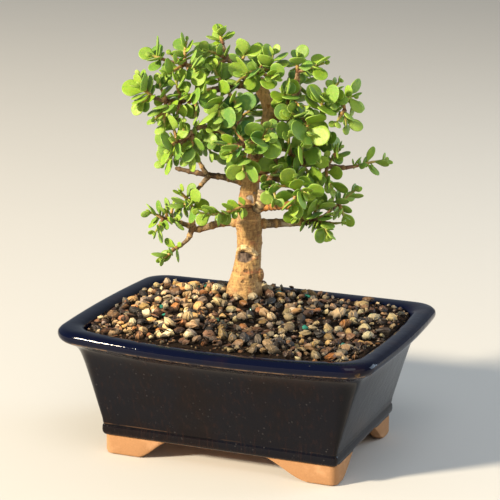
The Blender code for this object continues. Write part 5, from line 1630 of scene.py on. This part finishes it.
def wood_points():
    """Points along the trunk, its stubs and every limb, each with the radius there."""
    rows = np.array(TRUNK, float)
    route = read_along(rows[:, :3], WOOD_STEP)
    wood = [np.column_stack([route, np.interp(route[:, 2], rows[:, 2], rows[:, 3])])]
    for limb in LIMBS.values():
        for *points, first, last in limb:
            route = smooth_route(points, WOOD_STEP)
            wood.append(np.column_stack([route, taper(route, first, last)]))
    for *points, first, _ in STUBS:
        route = smooth_route(points, WOOD_STEP)
        wood.append(np.column_stack([route, np.full(len(route), first)]))
    return np.concatenate(wood)


class Crown:
    """The leaves grown so far, and the wood and twigs that further ones keep clear of. Each leaf comes with
    its age: 0 at a twig's foot and 1 at its tip."""

    def __init__(self):
        self.dice = random.Random(SEED)
        self.wood = wood_points()
        self.twigs = {name: [(smooth_route(points, TWIG_STEP), *leaves) for points, *leaves in twigs]
                      for name, twigs in SHOOTS.items()}
        self.twig_points = np.concatenate([read_along(route, WOOD_STEP)
                                           for twigs in self.twigs.values() for route, *_ in twigs])
        self.grown = []
        self.shoots = {name: [] for name in SHOOTS}

    def grow(self):
        """Every shoot's leaves, in the solids' own order of random draws, then those of the side twigs and
        small leaves that fill the gaps between pairs."""
        for name, twigs in self.twigs.items():
            for twig in twigs:
                self.pairs(name, *twig, PAIRED)
        for name, twigs in SIDE_TWIGS.items():
            for points, *leaves in twigs:
                self.pairs(name, smooth_route(points, TWIG_STEP), *leaves, SIDE_PAIRED)
        for name, twigs in self.twigs.items():
            for twig in twigs:
                self.fill(name, *twig)
        return self.shoots

    def pairs(self, name, route, pairs, length, spin, manner):
        """The grown leaves of one twig, each pair turned a quarter from the last."""
        for pair in range(pairs):
            late = pair / (pairs - 1)
            size = LEAF_GROWTH * length * (1 - LEAF_SWELL + LEAF_SWELL * sin(pi * late))
            if pair == pairs - 1:
                size *= LEAF_LAST
            turns = [spin + 90 * pair, spin + 90 * pair + 180]
            self.whorl(name, route, late, turns, size, manner)

    def fill(self, name, route, pairs, length, spin):
        """Up to four smaller leaves halfway between a twig's pairs, and under its first."""
        for pair in range(-1, pairs - 1):
            turns = [spin + 90 * pair + 45 + 90 * quarter for quarter in range(4)]
            self.whorl(name, route, (pair + 0.5) / (pairs - 1), turns, FILL_SIZE * length, FILLING)

    def whorl(self, name, route, late, turns, size, manner):
        """Leaves round one place of a twig, in the given turns. Each tries its own place and then places
        near it, and stays at the first that is clear."""
        tries, shrink, space, most = manner
        where = station(route, LEAF_FIRST + (1 - LEAF_FIRST) * late)
        late = max(late, 0)
        tilt = radians(LEAF_TILT[0] + (LEAF_TILT[1] - LEAF_TILT[0]) * late)
        partner = None
        for turn in turns:
            for attempt in range(tries):
                loose = LEAF_STRAY[0] + LEAF_STRAY[1] * attempt
                leaf = leaf_frame(
                    *where, radians(turn) + self.dice.uniform(-2, 2) * loose,
                    tilt + self.dice.uniform(-1.2, 1.2) * loose,
                    size * (1 - shrink * attempt) * self.dice.uniform(0.93, 1.05),
                    self.dice.uniform(-0.4, 0.4), most)
                cloud, free = leaf_samples(leaf)
                if self.is_clear(cloud, free, partner, space):
                    self.shoots[name].append((leaf, late))
                    self.grown.append((cloud.mean(axis=0), cloud, free))
                    partner = cloud
                    break

    def is_clear(self, cloud, free, partner, space):
        """True where a leaf stays within the pot's width and over the gravel, and off the wood, the twigs
        and the leaves grown so far. It may meet its partner's foot."""
        if tree_to_world(cloud)[:, 1].max() >= CROWN_BACK or cloud[:, 2].min() <= CROWN_FLOOR:
            return False
        if (nearest(free, self.wood[:, :3]) - self.wood[:, 3]).min() < WOOD_SPACE:
            return False
        if nearest(free, self.twig_points).min() < TWIG_SPACE:
            return False
        centres = np.array([centre for centre, *_ in self.grown]).reshape(-1, 3)
        away = norms(centres - cloud.mean(axis=0))
        for k in np.flatnonzero(away < LEAF_REACH):
            _, other, other_free = self.grown[k]
            pair = other is partner
            if nearest(other_free if pair else other, free if pair else cloud).min() < space:
                return False
        return True


def leaf_surface(leaf, thickness, dice, slim=SLIM):
    """A succulent leaf: rings from foot to tip across its blade, cos of the turn times the half width one
    way and a rounded power of its sine times half the thickness the other, on the leaf's own bent middle
    surface, a little wavy. Returns points, faces and the masks of rim and underside and the way along."""
    u = np.array(LEAF_ROWS)[:, None]
    cosine, sine = circle(LEAF_SIDES)
    across = cosine[None]
    side = np.sign(sine) * np.abs(sine) ** LEAF_ROUNDING
    length = leaf.length
    plump = thickness * (length / THICK_LENGTH) ** 0.5
    plump = plump * (0.62 + 0.38 * np.sin(pi * np.clip(u * 1.1, 0, 1)))
    taper_in = np.sqrt(np.clip(1 - ((u - 0.5) / 0.5).clip(0, 1) ** 3, 0, 1))
    bend, twist, ripple = LEAF_WAVES
    wave = bend * length * dice.uniform(-1, 1) * u ** 2 + twist * length * dice.uniform(-1, 1) * u * across
    wave = wave + ripple * length * np.sin(5 * u + dice.uniform(0, 6)) * np.abs(across) ** 2
    lift = 0.5 * plump * taper_in * side + wave
    shape = lift.shape
    flat_u, flat_v = (np.broadcast_to(values, shape).ravel() for values in (u, across))
    rows = leaf_point(leaf, flat_u, flat_v, lift.ravel(), slim).reshape(*shape, 3)
    if np.dot(np.cross(leaf.across, leaf.up), leaf.along) < 0:
        rows = rows[:, ::-1]
        side = side[::-1]
        across = across[:, ::-1]
    surface, faces = closed_rows(rows)
    surface[-1] = leaf_point(leaf, np.ones(1), np.zeros(1))[0]
    masks = {"rim": (np.maximum(np.abs(across) ** 5 * ease(u, 0.12, 0.4), ease(u, 0.95, 1)), (0, 1)),
             "under": ((side < -0.05) * 1, (0.5, 0.5)), "along": (u, (0, 1))}
    return tree_to_world(surface), faces, {
        name: np.append(np.broadcast_to(values, shape).ravel(), ends) for name, (values, ends) in masks.items()}


class BONSAI_OT_shoots(Operator):
    """Grow each leafy shoot: its twigs, its pairs of leaves and the buds at its tips"""
    bl_idname = "bonsai.shoots"
    bl_label = "Leafy shoots"

    def execute(self, context):
        bark = context.scene.bonsai_bark
        leaf_look = context.scene.bonsai_leaf
        finishes = (leaf_finish(leaf_look), twig_finish(bark))
        dice = random.Random(SEED + 1)
        thickness = leaf_look.thickness / MM
        for name, leaves in Crown().grow().items():
            if not leaves:
                raise RuntimeError(name + " grew no leaves")
            shoot = Shape("rim", "under", "along", "tone", "young", "ring", "age")
            for points, _, length, spin in (*SHOOTS[name], *SIDE_TWIGS.get(name, ())):
                self.add_twig(shoot, points, length, spin, dice, bark.ring / MM, thickness)
            for leaf, late in leaves:
                surface, faces, masks = leaf_surface(leaf, thickness, dice, SLIM_SHOOTS.get(name, SLIM))
                # painted shade: a leaf's tone is darker the nearer it lies to the crown's middle, plus a random
                # share
                depth = ease(np.linalg.norm(leaf.foot - CROWN_CENTRE), *PAINTED_CROWN_SHADE)
                tone = min(1, max(0, 0.3 + 0.6 * depth + dice.uniform(-0.62, 0.42)))
                young = max(0, late - 0.45) * 0.7 + max(0, dice.uniform(-0.5, 0.45))
                shoot.add(surface, faces, tone=tone, young=min(young, 0.5), **masks)
            settle(shoot.build("leafy_shoot_" + name, *finishes), "leaf", "shoot_" + name)
        return {"FINISHED"}

    def add_twig(self, shoot, points, length, spin, dice, ring, thickness):
        """One twig with a pair of young leaves at its tip."""
        surface, faces, rings = ringed_stem(points, *TWIG_RADIUS, dice, 10, TWIG_DETAIL, 5, ring * 0.55, 0.35)
        reach = max(lengths_along(smooth_route(points, TWIG_DETAIL))[-1], 1)
        age = np.clip(1.05 - away_from(points[0], surface) / reach, 0, 1)
        shoot.add(surface, faces, skin=1, ring=rings, age=age)
        node, tangent, side = station(smooth_route(points, TWIG_STEP), 1)
        for half in (0, 1):
            bud = leaf_frame(node + tangent * 0.6, tangent, side, radians(spin + 45 + 180 * half),
                             radians(BUD_TILT), length * dice.uniform(0.26, 0.36), dice.uniform(-0.2, 0.2))
            surface, faces, masks = leaf_surface(bud, thickness, dice)
            shoot.add(surface, faces, tone=1, young=dice.uniform(0.7, 1), **masks)


# ---- stage

def way_to(azimuth, elevation):
    """Direction from the aim to a place with that turn round the pot and that height over the horizon."""
    return Vector((sin(azimuth) * cos(elevation), -cos(azimuth) * cos(elevation),
                   sin(elevation)))


class BONSAI_OT_stage(Operator):
    """Set up the floor, the soft lights and the camera"""
    bl_idname = "bonsai.stage"
    bl_label = "Floor, light and camera"

    def execute(self, context):
        scene = context.scene
        stage = scene.bonsai_stage
        self.add_floor(stage)
        world = bpy.data.worlds.new("soft_sky")
        world.use_nodes = True
        background = world.node_tree.nodes["Background"]
        background.inputs["Color"].default_value = (*stage.sky, 1)
        background.inputs["Strength"].default_value = stage.sky_strength
        scene.world = world
        for name, side, height, *look in SOFT_LIGHTS:
            self.add_light(name, stage, way_to(stage.azimuth + radians(side), radians(height)), *look)
        self.add_camera(scene, stage)
        scene.view_settings.view_transform = "Standard"
        return {"FINISHED"}

    def add_floor(self, stage):
        """A round floor: rings of points that widen from the middle with the square of their number."""
        count, spokes = FLOOR_GRID
        cosine, sine = circle(spokes)
        radii = stage.floor_radius / MM * np.linspace(0, 1, count + 1)[1:] ** 2
        rows = radii[::-1, None, None] * np.stack([cosine, sine, 0 * sine], axis=1)[None]
        points = np.concatenate([rows.reshape(-1, 3), np.zeros((1, 3))])
        body = count * spokes
        faces = [grid_faces(count, spokes), fan(body, np.arange(body - spokes, body), True)]
        single("floor", (points, faces), floor_finish(stage))

    def add_light(self, name, stage, way, distance, size, power, tint):
        """A square soft light at a distance from the camera's aim, turned to it."""
        light = bpy.data.lights.new(name, "AREA")
        light.size = size
        light.energy = power
        light.color = tint
        made = bpy.data.objects.new(name, light)
        facing = way.to_track_quat("Z", "Y").to_matrix().to_4x4()
        made.matrix_world = Matrix.Translation(Vector(stage.aim) + way * distance) @ facing
        bpy.context.scene.collection.objects.link(made)

    def add_camera(self, scene, stage):
        """The camera looks at its aim from an azimuth, an elevation and a distance."""
        back = way_to(stage.azimuth, stage.elevation)
        right = Vector((cos(stage.azimuth), sin(stage.azimuth), 0))
        up = back.cross(right)
        rolled_right = right * cos(stage.roll) + up * sin(stage.roll)
        rolled_up = up * cos(stage.roll) - right * sin(stage.roll)
        data = bpy.data.cameras.new("camera")
        data.lens = stage.lens
        data.sensor_width = 36
        data.clip_end = 100
        camera = bpy.data.objects.new("camera", data)
        place = Matrix((rolled_right, rolled_up, back)).transposed().to_4x4()
        place.translation = Vector(stage.aim) + back * stage.distance
        camera.matrix_world = place
        scene.collection.objects.link(camera)
        scene.camera = camera


# ---- add-on

class BONSAI_PT_panel(Panel):
    """Sidebar panel that lists the settings and the steps"""
    bl_idname = "BONSAI_PT_panel"
    bl_label = "Jade bonsai"
    bl_space_type = "VIEW_3D"
    bl_region_type = "UI"
    bl_category = "Bonsai"

    def draw(self, context):
        for name, group in SETTINGS.items():
            box = self.layout.box()
            settings = getattr(context.scene, name)
            for key in group.__annotations__:
                box.prop(settings, key)
        for step in STEPS:
            self.layout.operator(step.bl_idname)


SETTINGS = {
    "bonsai_pot": BONSAI_PG_pot,
    "bonsai_gravel": BONSAI_PG_gravel,
    "bonsai_bark": BONSAI_PG_bark,
    "bonsai_leaf": BONSAI_PG_leaf,
    "bonsai_stage": BONSAI_PG_stage,
}
STEPS = (BONSAI_OT_pot, BONSAI_OT_drainage, BONSAI_OT_gravel_bed, BONSAI_OT_stones, BONSAI_OT_trunk,
         BONSAI_OT_limbs, BONSAI_OT_shoots, BONSAI_OT_stage)


def register():
    """Adds the settings, the steps and the panel to Blender."""
    for made in (*SETTINGS.values(), *STEPS, BONSAI_PT_panel):
        bpy.utils.register_class(made)
    for name, group in SETTINGS.items():
        setattr(bpy.types.Scene, name, PointerProperty(type=group))


def unregister():
    """Takes them away again."""
    for name in SETTINGS:
        delattr(bpy.types.Scene, name)
    for made in (BONSAI_PT_panel, *reversed(STEPS), *reversed(SETTINGS.values())):
        bpy.utils.unregister_class(made)


def main():
    """Runs each step in order."""
    register()
    bpy.ops.bonsai.pot()
    bpy.ops.bonsai.drainage()
    bpy.ops.bonsai.gravel_bed()
    bpy.ops.bonsai.stones()
    bpy.ops.bonsai.trunk()
    bpy.ops.bonsai.limbs()
    bpy.ops.bonsai.shoots()
    bpy.ops.bonsai.stage()


if __name__ == "__main__":
    main()
